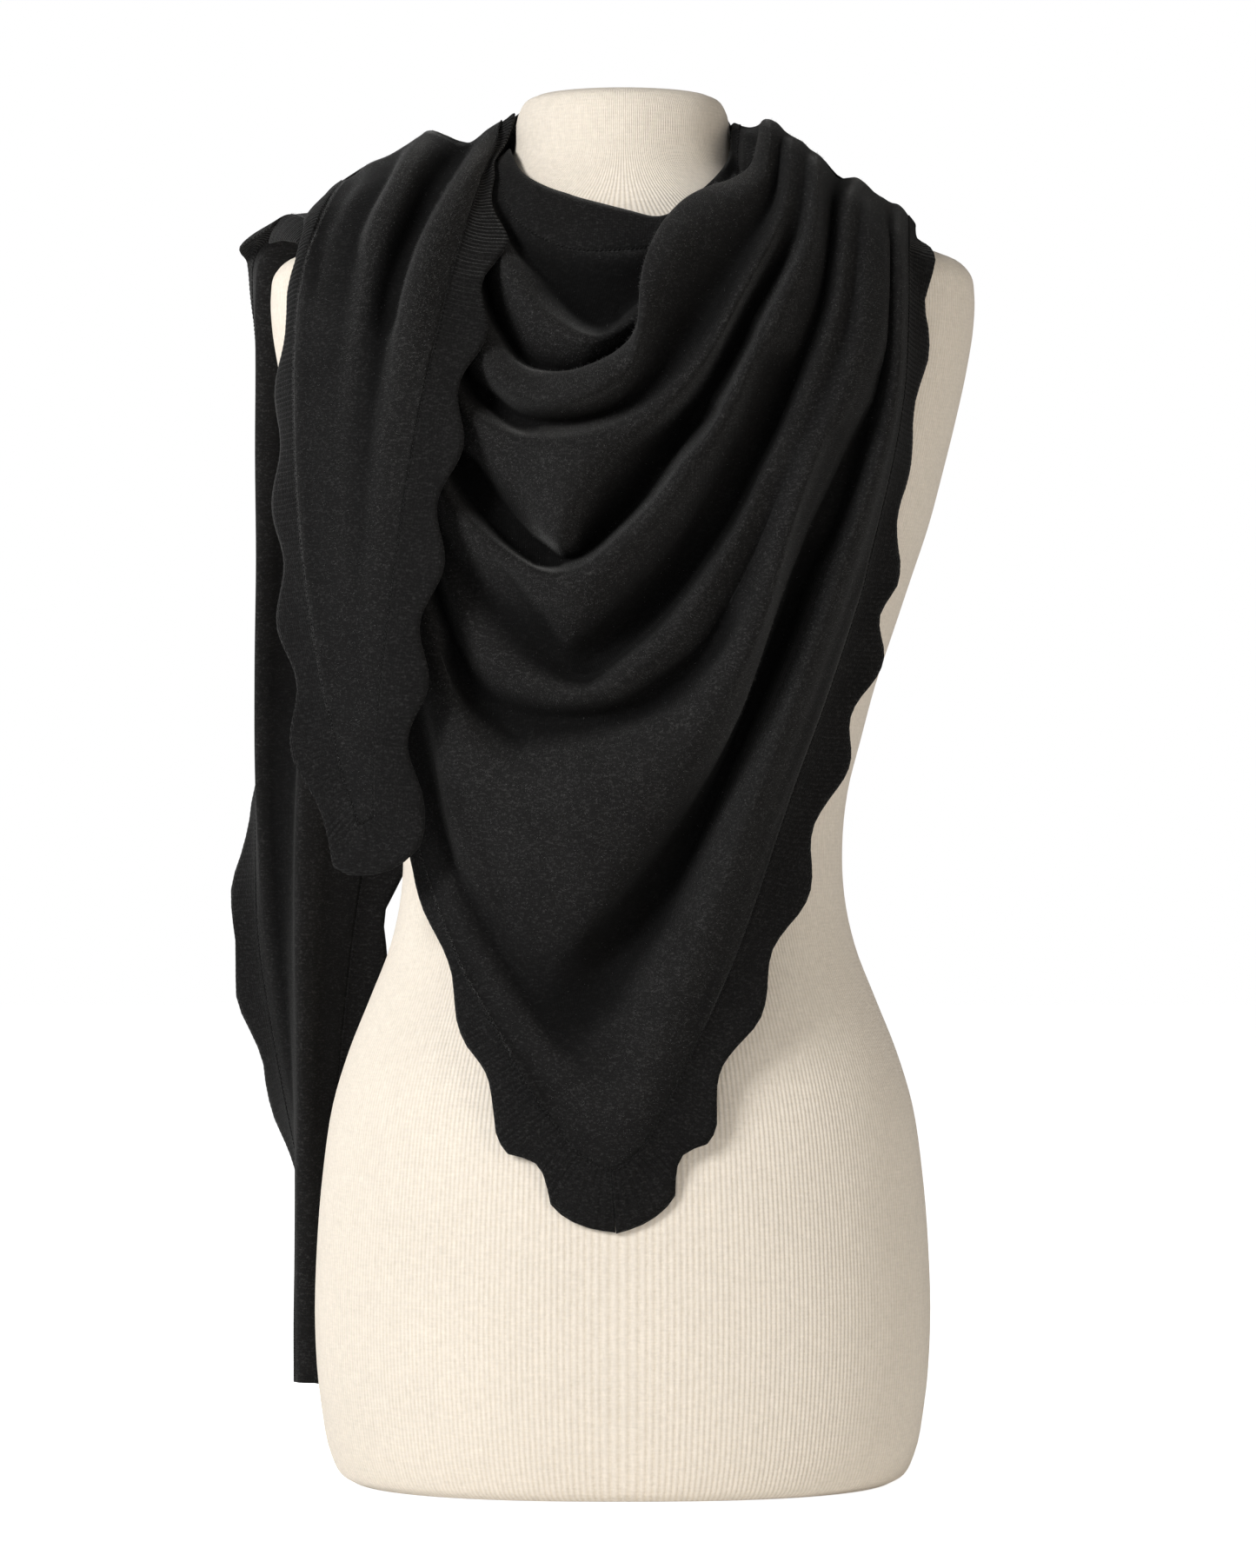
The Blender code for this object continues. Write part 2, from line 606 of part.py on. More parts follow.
def away_from_form(points):
    """The direction straight out from the form at each point."""
    return np.array([tuple(form_surface.find_nearest(Vector(p))[1]) for p in points])


def grown(marked):
    """The marked points of a grid and their neighbours."""
    wide = marked.copy()
    wide[1:] |= marked[:-1]
    wide[:-1] |= marked[1:]
    wide[:, 1:] |= marked[:, :-1]
    wide[:, :-1] |= marked[:, 1:]
    return wide


def eased_sheet(grid, gap, under=()):
    """A sheet clear of what it lies on, with its folds eased until its wall clears itself.

    Sides that face each other too closely move apart, and their surroundings are evened.
    """
    grid = clear_sheet(grid, gap, under)
    beneath = [form_surface] + [walls[name] for name in under]
    for number in range(EASING_ROUNDS):
        normals = sheet_normals(grid)
        outer, inner = crossing_points(grid, normals)
        pressed = pressed_points(grid, normals, beneath)
        if not (outer.any() or inner.any() or pressed.any()):
            break
        ends = grid[:, (0, -1), 1].copy()
        grid[outer] -= normals[outer] * EASING_STEP
        grid[inner] += normals[inner] * EASING_STEP
        if pressed.any():
            grid[pressed] += away_from_form(grid[pressed]) * EASING_STEP
        marked = outer | inner
        for _ in range(1 + number // EASING_SPREAD):
            marked = grown(marked)
        padded = np.pad(grid, ((1, 1), (1, 1), (0, 0)), mode="edge")
        mean = (padded[:-2, 1:-1] + padded[2:, 1:-1]
                + padded[1:-1, :-2] + padded[1:-1, 2:]) / 4.0
        grid[marked] += (mean[marked] - grid[marked]) * EASING_SHARE
        grid[:, (0, -1), 1] = ends
        grid = clear_sheet(grid, gap, under, 1)
    return grid


def level_at_crest(grid, normals, at_start, at_end):
    """Ends a sheet in the upright plane of a crest, half a gap from it, on either side."""
    grid = grid.copy()
    normals = normals.copy()
    for wanted, end, inner in ((at_start, 0, 1), (at_end, -1, -2)):
        if wanted:
            side = np.sign(grid[:, inner, 1].mean() - CREST_Y)
            grid[:, end, 1] = CREST_Y + side * SEAM_GAP / 2.0
            normals[:, end, 1] = 0.0
            normals[:, end] /= np.linalg.norm(normals[:, end], axis=-1)[:, None]
    return grid, normals


def drape_y(x, z):
    """The front drape shape's y under a point (x, z)."""
    half = np.interp(z, column(FRONT_DRAPE, "height"), column(FRONT_DRAPE, "half_width"))
    depth = np.interp(z, column(FRONT_DRAPE, "height"), column(FRONT_DRAPE, "depth"))
    inside = max(0.0, 1.0 - abs(x / half) ** DRAPE_FULLNESS)
    return -depth * inside ** (1.0 / DRAPE_FULLNESS)


def over_the_edge(crest, below):
    """A point where the cloth rounds the shoulder, between its crest and the point below."""
    return tuple(top + (low - top) * share
                 for top, low, share in zip(crest, below, ROUNDING_SHARES))


def front_rows():
    """The fold table as points in space, one row of stations for each fold."""
    rows = []
    for fold in FRONT_FOLDS:
        lifts = [fold.left * share for share in LEFT_LIFT_SHARES]
        lifts += [fold.left, (fold.left + fold.low) / 2, fold.low]
        lifts += [(fold.low + fold.right) / 2, fold.right, fold.top, fold.shoulder, 0.0]
        row = []
        for station, (x, z) in enumerate(fold.path):
            if station in (0, len(fold.path) - 1):
                y = CREST_Y
            else:
                y = drape_y(x, z) - lifts[station] + LEFT_FLATTENING[station]
            row.append((x, y, z))
        row.insert(1, over_the_edge(row[0], row[1]))
        row.insert(-1, over_the_edge(row[-1], row[-2]))
        rows.append(row)
    return np.array(rows, float)


def places_between(counts):
    """Places along a curve with the given number of steps in each interval."""
    places = [0.0]
    for interval, count in enumerate(counts):
        places += [interval + (step + 1) / count for step in range(count)]
    return np.array(places)


def sheet_normals(grid):
    """The outward unit normals of a sheet's grid of points, evened along its seams."""
    along = np.gradient(grid, axis=1)
    across = np.gradient(grid, axis=0)
    normals = unit(np.cross(across, along))
    for _ in range(SEAM_EVENING_ROUNDS):
        for edge in (0, -1):
            line = np.pad(normals[edge], ((1, 1), (0, 0)), mode="edge")
            normals[edge] = unit(line[:-2] + 2.0 * line[1:-1] + line[2:])
    return normals


def panel_run(seam, inner):
    """The direction from a row inside a sheet to the row at its edge, square to the edge."""
    along = unit(np.gradient(seam, axis=0))
    out = seam - inner
    out -= along * np.sum(out * along, axis=1)[:, None]
    return unit(out)


def trim(grid, first_row, last_row, last_column=False):
    """Draws the chosen seam edges of a grid in by half a seam gap."""
    grid = grid.copy()
    if last_column:
        grid[:, -1] -= panel_run(grid[:, -1], grid[:, -2]) * SEAM_GAP / 2.0
    if first_row:
        grid[0] -= panel_run(grid[0], grid[1]) * SEAM_GAP / 2.0
    if last_row:
        grid[-1] -= panel_run(grid[-1], grid[-2]) * SEAM_GAP / 2.0
    return grid


def wall_shell(grid, normals, wall):
    """The points and four-sided faces of a closed wall round a grid of points."""
    rows, columns = grid.shape[:2]
    outer = (grid + normals * wall / 2.0).reshape(-1, 3)
    inner = (grid - normals * wall / 2.0).reshape(-1, 3)
    vertices = np.concatenate((outer, inner))
    shift = rows * columns
    faces = []
    for r in range(rows - 1):
        for c in range(columns - 1):
            a = r * columns + c
            b = a + 1
            d = a + columns
            e = d + 1
            faces.append((a, d, e, b))
            faces.append((shift + a, shift + b, shift + e, shift + d))
    rim = [(0, c) for c in range(columns)]
    rim += [(r, columns - 1) for r in range(1, rows)]
    rim += [(rows - 1, c) for c in range(columns - 2, -1, -1)]
    rim += [(r, 0) for r in range(rows - 2, 0, -1)]
    for here, there in zip(rim, rim[1:] + rim[:1]):
        a = here[0] * columns + here[1]
        b = there[0] * columns + there[1]
        if here[0] == there[0] == rows - 1:
            faces.append((shift + a, a, b, shift + b))
        else:
            faces.append((a, b, shift + b, shift + a))
    return vertices, faces


def triangles_of(faces):
    """Four-sided faces as triangles."""
    halves = []
    for a, b, c, d in faces:
        halves.append((a, b, c))
        halves.append((a, c, d))
    return halves


def build_wall(name, grid, normals, colour, roughness):
    """A closed wall of even thickness round a grid of points."""
    vertices, faces = wall_shell(grid, normals, WALL)
    triangles = triangles_of(faces)
    walls[name] = BVHTree.FromPolygons([Vector(v) for v in vertices], triangles)
    new_object(name, vertices, triangles, colour, roughness)


def panel_edge_direction(seam, inner):
    """The direction in which a panel's cloth runs on past its seam, at each seam point."""
    out = panel_run(seam, inner)
    padded = np.concatenate((out[:1], out, out[-1:]))
    return unit(padded[:-2] + 2.0 * out + padded[2:])


def scalloped_band(name, seam, inner, normals, out, widths, peaks, crests, under=()):
    """A band beyond a seam whose free edge runs in scallops.

    The peaks are the scallops' places along the seam, and they go on at an even pitch.
    At a crest it ends upright in the crest's plane, and elsewhere half a seam gap short.
    Where it would cut another wall it turns towards its panel's run and narrows.
    """
    count = len(seam)
    fine = np.linspace(0, count - 1, (count - 1) * BAND_COLUMNS_PER_STEP + 1)
    base = np.arange(count)

    def between(values):
        return np.stack([np.interp(fine, base, values[:, i]) for i in range(3)], axis=1)

    seam_fine = between(seam)
    normal_fine = unit(between(normals))
    out_fine = unit(between(out))
    run_fine = unit(between(panel_run(seam, inner)))
    width = np.interp(fine, base, widths)
    run = np.concatenate(([0.0], np.cumsum(np.linalg.norm(np.diff(seam_fine, axis=0), axis=1))))
    peaks = (peaks[0] - SCALLOP_PITCH, *peaks)
    peaks += tuple(np.arange(peaks[-1] + SCALLOP_PITCH, run[-1] + 2 * SCALLOP_PITCH, SCALLOP_PITCH))
    wave = np.cos(2.0 * math.pi * np.interp(run, peaks, np.arange(len(peaks))))
    reach = width * (BAND_WIDTH + SCALLOP_DEPTH * wave)
    gaps = np.full(len(fine), FORM_CLEARANCE)
    beneath = [form_surface] + [walls[other] for other in under]
    for _ in range(BAND_TURNING_ROUNDS):
        for at_crest, end in zip(crests, (0, -1)):
            if at_crest:
                out_fine[end, 1] = 0.0
                out_fine[end] = unit(out_fine[end])
        edge = seam_fine + out_fine * reach[:, None]
        for _ in range(CLEARING_ROUNDS):
            edge = clear_of_form(edge, gaps, under)
            middle = (seam_fine + edge) / 2.0
            edge += 2.0 * (clear_of_form(middle, gaps, under) - middle)
        along = np.gradient((seam_fine + edge) / 2.0, axis=0)
        edge_normal = np.cross(edge - seam_fine, along)
        edge_normal *= np.sign(np.sum(edge_normal * normal_fine, axis=1))[:, None]
        grid = np.stack((seam_fine, edge))
        grid_normals = np.stack((normal_fine, unit(edge_normal)))
        grid = trim(grid, True, False)
        for at_crest, end, inner_end in zip(crests, (0, -1), (1, -2)):
            if not at_crest:
                grid[:, end] += unit(grid[:, inner_end] - grid[:, end]) * SEAM_GAP / 2.0
        grid, grid_normals = level_at_crest(grid, grid_normals, *crests)
        marked = crossing_points(grid, grid_normals).any(axis=(0, 1))
        triangles, tree = shell_tree(grid, grid_normals, WALL)
        for wall in walls.values():
            for one, _ in tree.overlap(wall):
                for corner in triangles[one]:
                    marked[corner % len(marked)] = True
        pressed = pressed_points(grid, grid_normals, beneath).any(axis=0)
        if not (marked.any() or pressed.any()):
            break
        gaps[grown(pressed[None, :])[0]] += EASING_STEP
        marked = grown(grown(marked[None, :]))[0]
        out_fine[marked] = unit(out_fine[marked] + BAND_TURNING_STEP * run_fine[marked])
        reach[marked] *= BAND_NARROWING
    build_wall(name, grid, grid_normals, BAND_COLOUR, CLOTH_ROUGHNESS)


def over_y(x, z):
    """The over panel's y at a point (x, z)."""
    heights = column(OVER_DRAPE, "height")
    depth = np.interp(z, heights, column(OVER_DRAPE, "depth"))
    sweep = np.interp(z, heights, column(OVER_DRAPE, "sweep"))
    return -depth + sweep * max(0.0, -x - OVER_INNER_SIDE) ** 2


def over_rows():
    """The over panel's fold table as points in space."""
    rows = []
    for strip in OVER_FOLDS:
        fade = OVER_SHOULDER_FADE if "shoulder" in strip.name else OVER_INNER_FADE
        row = []
        for station, (x, z) in enumerate(strip.path):
            y = over_y(x, z) - strip.lift * fade[station]
            row.append((x, CREST_Y if station == 0 else min(y, CREST_Y), z))
        rows.append(row)
    return np.array(rows, float)


def back_y(x, z):
    """The back drape shape's y at a point (x, z)."""
    half = np.interp(z, column(BACK_DRAPE, "height"), column(BACK_DRAPE, "half_width"))
    depth = np.interp(z, column(BACK_DRAPE, "height"), column(BACK_DRAPE, "depth"))
    inside = max(0.0, 1.0 - abs(x / half) ** DRAPE_FULLNESS)
    return depth * inside ** (1.0 / DRAPE_FULLNESS)


def back_rows(right_crest, left_crest):
    """Rows across the back between two crest profiles, neck first."""
    rows = []
    last = len(right_crest) - 1
    soft_places = np.linspace(0, len(SOFT_RIGHT_CREST) - 1, last + 1)
    soft_crest = smooth_through(SOFT_RIGHT_CREST, soft_places)
    for number, (crest, soft, end) in enumerate(zip(right_crest, soft_crest, left_crest)):
        share = number / last
        sag = BACK_NECK_SAG + (BACK_HEM_SAG - BACK_NECK_SAG) * share
        wave = math.cos(2.0 * math.pi * BACK_FOLDS * share)
        row = []
        for station in BACK_STATIONS:
            swing = math.sin(math.pi * station.along)
            start = soft + (crest - soft) * max(0.0, 1.0 - station.along / CREST_FADE)
            x = start[0] + (end[0] - start[0]) * station.across
            z = start[2] + (end[2] - start[2]) * station.along - sag * swing ** BACK_SAG_POWER
            y = back_y(x, z) + BACK_FOLD_DEPTH * wave * swing
            y = max(y, station.least_y) + station.over_tail
            if station.along in (0.0, 1.0):
                y = CREST_Y
            row.append((x, y, z))
        rows.append(row)
    return np.array(rows, float)


def tail_rows(crest_row):
    """The tail's table as points in space, from the left crest down."""
    rows = []
    last = len(crest_row) - 1
    starts = smooth_through(crest_row, [strip.lift * last for strip in TAIL_ROWS])
    for strip, start in zip(TAIL_ROWS, starts):
        row = [(x, y, z) for (x, y), z in zip(strip.path, TAIL_HEIGHTS)]
        first = row[0]
        sideways, back, down = TAIL_ROUNDING_SHARES
        over = (start[0] + (first[0] - start[0]) * sideways, first[1] * back,
                start[2] + (first[2] - start[2]) * down)
        rows.append([tuple(start), over] + row)
    return np.array(rows, float)


def turned_band(turns, places, seam, inner):
    """A band's directions and widths: its own turns, eased towards its panel's run."""
    table = np.array([tuple(turn) for turn in turns], float)
    base = np.arange(len(table))
    values = np.stack([np.interp(places, base, table[:, i]) for i in range(4)], axis=1)
    direction = values[:, :3] / np.linalg.norm(values[:, :3], axis=1)[:, None]
    direction = direction + BAND_FOLLOW * panel_edge_direction(seam, inner)
    return direction / np.linalg.norm(direction, axis=1)[:, None], values[:, 3]


form_surface = build_form()
walls = {}

# The front panel: rows from the neck seam to the hem seam.
front_u = places_between(FRONT_COLUMNS_PER_STATION)
fold_curves = np.stack([smooth_through(row, front_u) for row in front_rows()])
steps = [WIDE_FOLD_STEPS if fold.name in WIDE_FOLDS else FOLD_STEPS
         for fold in FRONT_FOLDS[:-1]]
front_v = places_between(steps)
front_sheet = smooth_through(fold_curves, front_v)
front_sheet[:, (0, -1), 1] = CREST_Y
front_sheet = eased_sheet(front_sheet, FORM_CLEARANCE)
neck_rows = steps[0]
grid, normals = level_at_crest(front_sheet, sheet_normals(front_sheet), True, True)
build_wall("front_panel", trim(grid[neck_rows:], True, True),
           normals[neck_rows:], CLOTH_COLOUR, CLOTH_ROUGHNESS)
build_wall("front_neck_band", trim(grid[:neck_rows + 1], False, True),
           normals[:neck_rows + 1], BAND_COLOUR, CLOTH_ROUGHNESS)

# The bands on the point's two edges meet in a mitre below the point of the panel.
hem = grid[-1]
hem_out = panel_edge_direction(hem, grid[-2])
hem_out[:len(LEFT_CREST_TURN)] = LEFT_CREST_TURN
for number, axis in enumerate("xyz"):
    hem_out[:, number] += np.interp(front_u, column(RIGHT_HEM_TURNS, "station"),
                                    column(RIGHT_HEM_TURNS, axis))
hem_out = unit(hem_out)
hem_run = np.concatenate(([0.0], np.cumsum(np.linalg.norm(np.diff(hem, axis=0), axis=1))))
from_tip = np.abs(hem_run - hem_run[TIP_COLUMN])
hem_width = 1.0 + TIP_EXTRA_WIDTH * np.exp(-(from_tip / TIP_SPREAD) ** 2)
hem_width *= np.interp(front_u, column(HEM_SHOWING, "station"), column(HEM_SHOWING, "share"))
left_peaks = tuple(hem_run[TIP_COLUMN] - peak for peak in reversed(LEFT_PEAKS))
right = slice(TIP_COLUMN, None)
left = slice(None, TIP_COLUMN + 1)
scalloped_band("front_hem_band_right", hem[right], grid[-2][right], normals[-1][right],
               hem_out[right], hem_width[right], RIGHT_PEAKS, (False, True))
scalloped_band("front_hem_band_left", hem[left], grid[-2][left], normals[-1][left],
               hem_out[left], hem_width[left], left_peaks, (True, False))

# The tail behind the left shoulder.
tail_u = places_between((2,) + TAIL_COLUMNS_PER_STATION)
crest_row = front_sheet[neck_rows:, 0]
tail_curves = np.stack([smooth_through(row, tail_u) for row in tail_rows(crest_row)])
tail_v = places_between(TAIL_STEPS)
tail_sheet = eased_sheet(smooth_through(tail_curves, tail_v), FORM_CLEARANCE)
grid, normals = level_at_crest(tail_sheet, sheet_normals(tail_sheet), True, False)
build_wall("tail_panel", trim(grid, True, True), normals,
           CLOTH_COLOUR, CLOTH_ROUGHNESS)
out, widths = turned_band(TAIL_INNER_TURNS, tail_u, grid[0], grid[1])
scalloped_band("tail_inner_band", grid[0], grid[1], normals[0], out, widths,
               (TAIL_INNER_PEAK,), (True, False))
out, widths = turned_band(TAIL_OUTER_TURNS, tail_u, grid[-1], grid[-2])
scalloped_band("tail_outer_band", grid[-1], grid[-2], normals[-1], out, widths,
               (TAIL_OUTER_PEAK,), (True, False))

# The over panel and its bands lie on the front stretch.
over_u = places_between(OVER_COLUMNS_PER_STATION)
over_curves = np.stack([smooth_through(row, over_u) for row in over_rows()])
over_v = places_between([OVER_STEPS] * (len(OVER_FOLDS) - 1))
over_sheet = eased_sheet(smooth_through(over_curves, over_v), FORM_CLEARANCE, FRONT_WALLS)
over_grid, normals = level_at_crest(over_sheet, sheet_normals(over_sheet), True, False)
build_wall("over_panel", trim(over_grid, True, True, True), normals,
           CLOTH_COLOUR, CLOTH_ROUGHNESS)
over_inner_out, inner_widths = turned_band(OVER_INNER_TURNS, over_u, over_grid[0],
                                           over_grid[1])
scalloped_band("over_inner_band", over_grid[0], over_grid[1], normals[0], over_inner_out,
               inner_widths, (OVER_INNER_PEAK,), (True, False), FRONT_WALLS)
over_outer_out, widths = turned_band(OVER_OUTER_TURNS, over_u, over_grid[-1], over_grid[-2])
corner = over_inner_out[-1:]
scalloped_band("over_outer_band", np.concatenate((over_grid[-1], over_grid[:1, -1])),
               np.concatenate((over_grid[-2], over_grid[:1, -2])),
               np.concatenate((normals[-1], normals[:1, -1])),
               np.concatenate((over_outer_out, corner)),
               np.append(widths, inner_widths[-1]), (OVER_OUTER_PEAK,), (True, False),
               FRONT_WALLS)

# The back stretch between the two crests lies on the tail at its left end.
share = np.linspace(0.0, 1.0, BACK_ROWS + 1)
right_crest = smooth_through(front_sheet[neck_rows:, -1],
                             share * (len(front_sheet) - 1 - neck_rows))
left_crest = smooth_through(over_sheet[:, 0], share * (len(over_sheet) - 1))
back_u = places_between(BACK_COLUMNS_PER_STATION)
back_sheet = np.stack([smooth_through(row, back_u) for row in back_rows(right_crest, left_crest)])
back_sheet = eased_sheet(back_sheet, FORM_CLEARANCE, TAIL_WALLS)
grid, normals = level_at_crest(back_sheet, sheet_normals(back_sheet), True, True)
build_wall("back_panel", trim(grid, True, True), normals,
           CLOTH_COLOUR, CLOTH_ROUGHNESS)
out = panel_edge_direction(grid[-1], grid[-2])
out[0] = hem_out[-1]
out[-1] = over_outer_out[0]
widths = np.interp(back_u, column(BACK_BAND_SHOWING, "station"),
                   column(BACK_BAND_SHOWING, "share"))
scalloped_band("back_hem_band", grid[-1], grid[-2], normals[-1], out,
               widths, (BACK_BAND_PEAK,), (True, True), TAIL_WALLS)
out = panel_edge_direction(grid[0], grid[1])
out[0] = NECK_BAND_AT_RIGHT
out[-1] = over_inner_out[0]
widths = np.interp(back_u, column(BACK_NECK_SHOWING, "station"),
                   column(BACK_NECK_SHOWING, "share"))
scalloped_band("back_neck_band", grid[0], grid[1], normals[0], out,
               widths, (BACK_BAND_PEAK,), (True, True), TAIL_WALLS)
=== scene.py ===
"""A black knitted wrap with scalloped bands, wound round a jersey-covered dress form.

Each stretch of the wrap is a thin shell on rows that follow its folds, in the same frame
and sizes as the solids, in millimetres until a mesh is made.
"""

import math
from collections import namedtuple

import bpy
import numpy as np
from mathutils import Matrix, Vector
from mathutils.bvhtree import BVHTree


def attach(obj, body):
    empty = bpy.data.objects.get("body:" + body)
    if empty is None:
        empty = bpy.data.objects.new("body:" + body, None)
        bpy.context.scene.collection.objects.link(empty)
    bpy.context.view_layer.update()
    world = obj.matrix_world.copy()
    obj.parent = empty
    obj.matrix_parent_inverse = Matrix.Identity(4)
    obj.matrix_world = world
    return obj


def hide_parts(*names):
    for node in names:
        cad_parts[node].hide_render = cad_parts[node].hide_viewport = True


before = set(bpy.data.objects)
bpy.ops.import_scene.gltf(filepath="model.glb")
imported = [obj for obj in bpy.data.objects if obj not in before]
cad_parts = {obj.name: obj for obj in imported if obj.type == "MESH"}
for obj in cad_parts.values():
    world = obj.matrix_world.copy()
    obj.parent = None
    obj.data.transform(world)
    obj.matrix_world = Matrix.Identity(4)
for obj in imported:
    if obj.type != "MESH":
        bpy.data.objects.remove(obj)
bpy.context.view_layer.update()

# The camera. A long lens at the height of the form's middle, level and straight in front,
# as for a shop's picture of a whole garment.
CAMERA_DISTANCE = 2.8
CAMERA_HEIGHT = 0.390
CAMERA_SIDE = 0.003
LENS = 114.0
SENSOR_WIDTH = 36.0

camera_data = bpy.data.cameras.new("shop_camera")
camera_data.lens = LENS
camera_data.sensor_width = SENSOR_WIDTH
camera = bpy.data.objects.new("shop_camera", camera_data)
camera.location = (CAMERA_SIDE, -CAMERA_DISTANCE, CAMERA_HEIGHT)
camera.rotation_euler = (math.radians(90.0), 0.0, 0.0)
bpy.context.scene.collection.objects.link(camera)
bpy.context.scene.camera = camera
bpy.context.scene.view_settings.view_transform = "Standard"

# The studio. A white sheet of paper, a large soft key from the upper left in front, a
# weaker and warmer fill from the right, a light from behind at the left, and white
# surroundings.
FLOOR_SIZE = 12.0
FLOOR_DROP = 0.0005
ROOM_LIGHT = 0.20
SoftBox = namedtuple("SoftBox", "name power size place aim colour")
SOFT_BOXES = (
    SoftBox("key_light", 85.0, 1.0, (-2.1, -2.0, 1.6), (0.0, 0.0, 0.45), (1.0, 1.0, 1.0)),
    SoftBox("fill_light", 31.0, 1.6, (2.4, -2.0, 0.5), (0.0, 0.0, 0.35), (1.0, 0.92, 0.82)),
    SoftBox("rim_light", 14.0, 1.0, (-1.6, 1.7, 1.5), (0.0, 0.0, 0.5), (1.0, 1.0, 1.0)),
)

floor_mesh = bpy.data.meshes.new("studio_floor")
half = FLOOR_SIZE / 2.0
floor_mesh.from_pydata([(-half, -half, 0), (half, -half, 0), (half, half, 0), (-half, half, 0)],
                       [], [(0, 1, 2, 3)])
floor = bpy.data.objects.new("studio_floor", floor_mesh)
bpy.context.scene.collection.objects.link(floor)
floor.location.z = -FLOOR_DROP
paper = bpy.data.materials.new("studio_paper")
paper.use_nodes = True
paper_surface = paper.node_tree.nodes["Principled BSDF"]
paper_surface.inputs["Roughness"].default_value = 1.0
paper_surface.inputs["Specular IOR Level"].default_value = 0.0
paper_seen = paper.node_tree.nodes.new("ShaderNodeLightPath")
paper_glow = paper.node_tree.nodes.new("ShaderNodeMapRange")
paper_glow.inputs["To Min"].default_value = 0.05
paper_glow.inputs["To Max"].default_value = 0.80
paper.node_tree.links.new(paper_seen.outputs["Is Camera Ray"], paper_glow.inputs["Value"])
paper.node_tree.links.new(paper_glow.outputs["Result"], paper_surface.inputs["Emission Strength"])
paper_surface.inputs["Emission Color"].default_value = (1.0, 1.0, 1.0, 1.0)
paper_tone = paper.node_tree.nodes.new("ShaderNodeTexNoise")
paper_tone.inputs["Scale"].default_value = 2.0
paper_ramp = paper.node_tree.nodes.new("ShaderNodeValToRGB")
paper_ramp.color_ramp.elements[0].color = (0.90, 0.90, 0.90, 1.0)
paper_ramp.color_ramp.elements[1].color = (0.93, 0.93, 0.93, 1.0)
paper.node_tree.links.new(paper_tone.outputs["Fac"], paper_ramp.inputs["Fac"])
paper.node_tree.links.new(paper_ramp.outputs["Color"], paper_surface.inputs["Base Color"])
floor_mesh.materials.append(paper)

for box in SOFT_BOXES:
    light = bpy.data.lights.new(box.name, "AREA")
    light.energy = box.power
    light.color = box.colour
    light.size = box.size
    lamp = bpy.data.objects.new(box.name, light)
    lamp.location = box.place
    away = Vector(box.place) - Vector(box.aim)
    lamp.rotation_euler = away.to_track_quat("Z", "Y").to_euler()
    bpy.context.scene.collection.objects.link(lamp)

room = bpy.data.worlds.new("white_room")
bpy.context.scene.world = room
room.use_nodes = True
room_nodes = room.node_tree
seen_directly = room_nodes.nodes.new("ShaderNodeLightPath")
room_strength = room_nodes.nodes.new("ShaderNodeMapRange")
room_strength.inputs["To Min"].default_value = ROOM_LIGHT
room_strength.inputs["To Max"].default_value = 1.0
room_nodes.links.new(seen_directly.outputs["Is Camera Ray"], room_strength.inputs["Value"])
room_back = room_nodes.nodes["Background"]
room_back.inputs["Color"].default_value = (1.0, 1.0, 1.0, 1.0)
room_nodes.links.new(room_strength.outputs["Result"], room_back.inputs["Strength"])

# The dress form. A light torso with a fine ribbed jersey drawn smooth over it, the ribs
# upright, and a flat base. Its rings run from the base to the rounded rim of the neck.
MM = 0.001
FormRing = namedtuple("FormRing", "height half_width front back")
# A row is a level ring: its height, half its width, and its depths to front and back.
FORM_RINGS = (
    FormRing(0, 152, 102, 106),
    FormRing(4, 159, 106, 110),
    FormRing(14, 164, 109, 114),
    FormRing(41, 169.5, 111, 120),
    FormRing(85, 173, 112, 124),
    FormRing(130, 172, 112, 125),
    FormRing(173, 168.5, 112, 122),
    FormRing(210, 163, 110, 115),
    FormRing(240, 154, 107, 105),
    FormRing(270, 142, 102, 94),
    FormRing(300, 130.5, 97, 84),
    FormRing(328, 124.7, 94, 76),
    FormRing(355, 123.6, 92, 73),
    FormRing(385, 126.5, 94, 72),
    FormRing(415, 134, 99, 75),
    FormRing(445, 142, 106, 80),
    FormRing(475, 152, 116, 86),
    FormRing(505, 162, 125, 91),
    FormRing(535, 172, 130, 95),
    FormRing(565, 180, 127, 98),
    FormRing(595, 187.5, 117, 99),
    FormRing(625, 194, 104, 97),
    FormRing(648, 197.5, 95, 94),
    FormRing(665, 198, 89, 91),
    FormRing(675, 196.5, 86, 89),
    FormRing(682, 191, 83, 87),
    FormRing(688, 178, 80, 85),
    FormRing(695, 157, 77, 82),
    FormRing(704, 131, 73, 78),
    FormRing(715, 102, 69, 73),
    FormRing(725, 78, 65, 68),
    FormRing(734, 66, 62, 64),
    FormRing(745, 61.5, 59, 61),
    FormRing(766, 59, 55.5, 57.5),
    FormRing(773, 55.5, 52, 54),
    FormRing(776.5, 49, 45.5, 47.5),
)
# The powers of the rings' superellipses: squarer at the torso than at the neck.
TORSO_FULLNESS = 2.4
NECK_FULLNESS = 2.05
NECK_FOOT = 695.0
NECK_START = 740.0
FORM_SIDES = 176
FORM_RING_STEPS = 4
JERSEY_GIRTH_RADIUS = 165.0
JERSEY_RIB_PITCH = 2.9
JERSEY_STITCH_PITCH = 2.1
# How round a rib is across, and how far its stitches stand out and slant.
RIB_ROUNDNESS = 0.7
RIB_STITCH_RELIEF = 0.25
RIB_STITCH_SLANT = 0.35
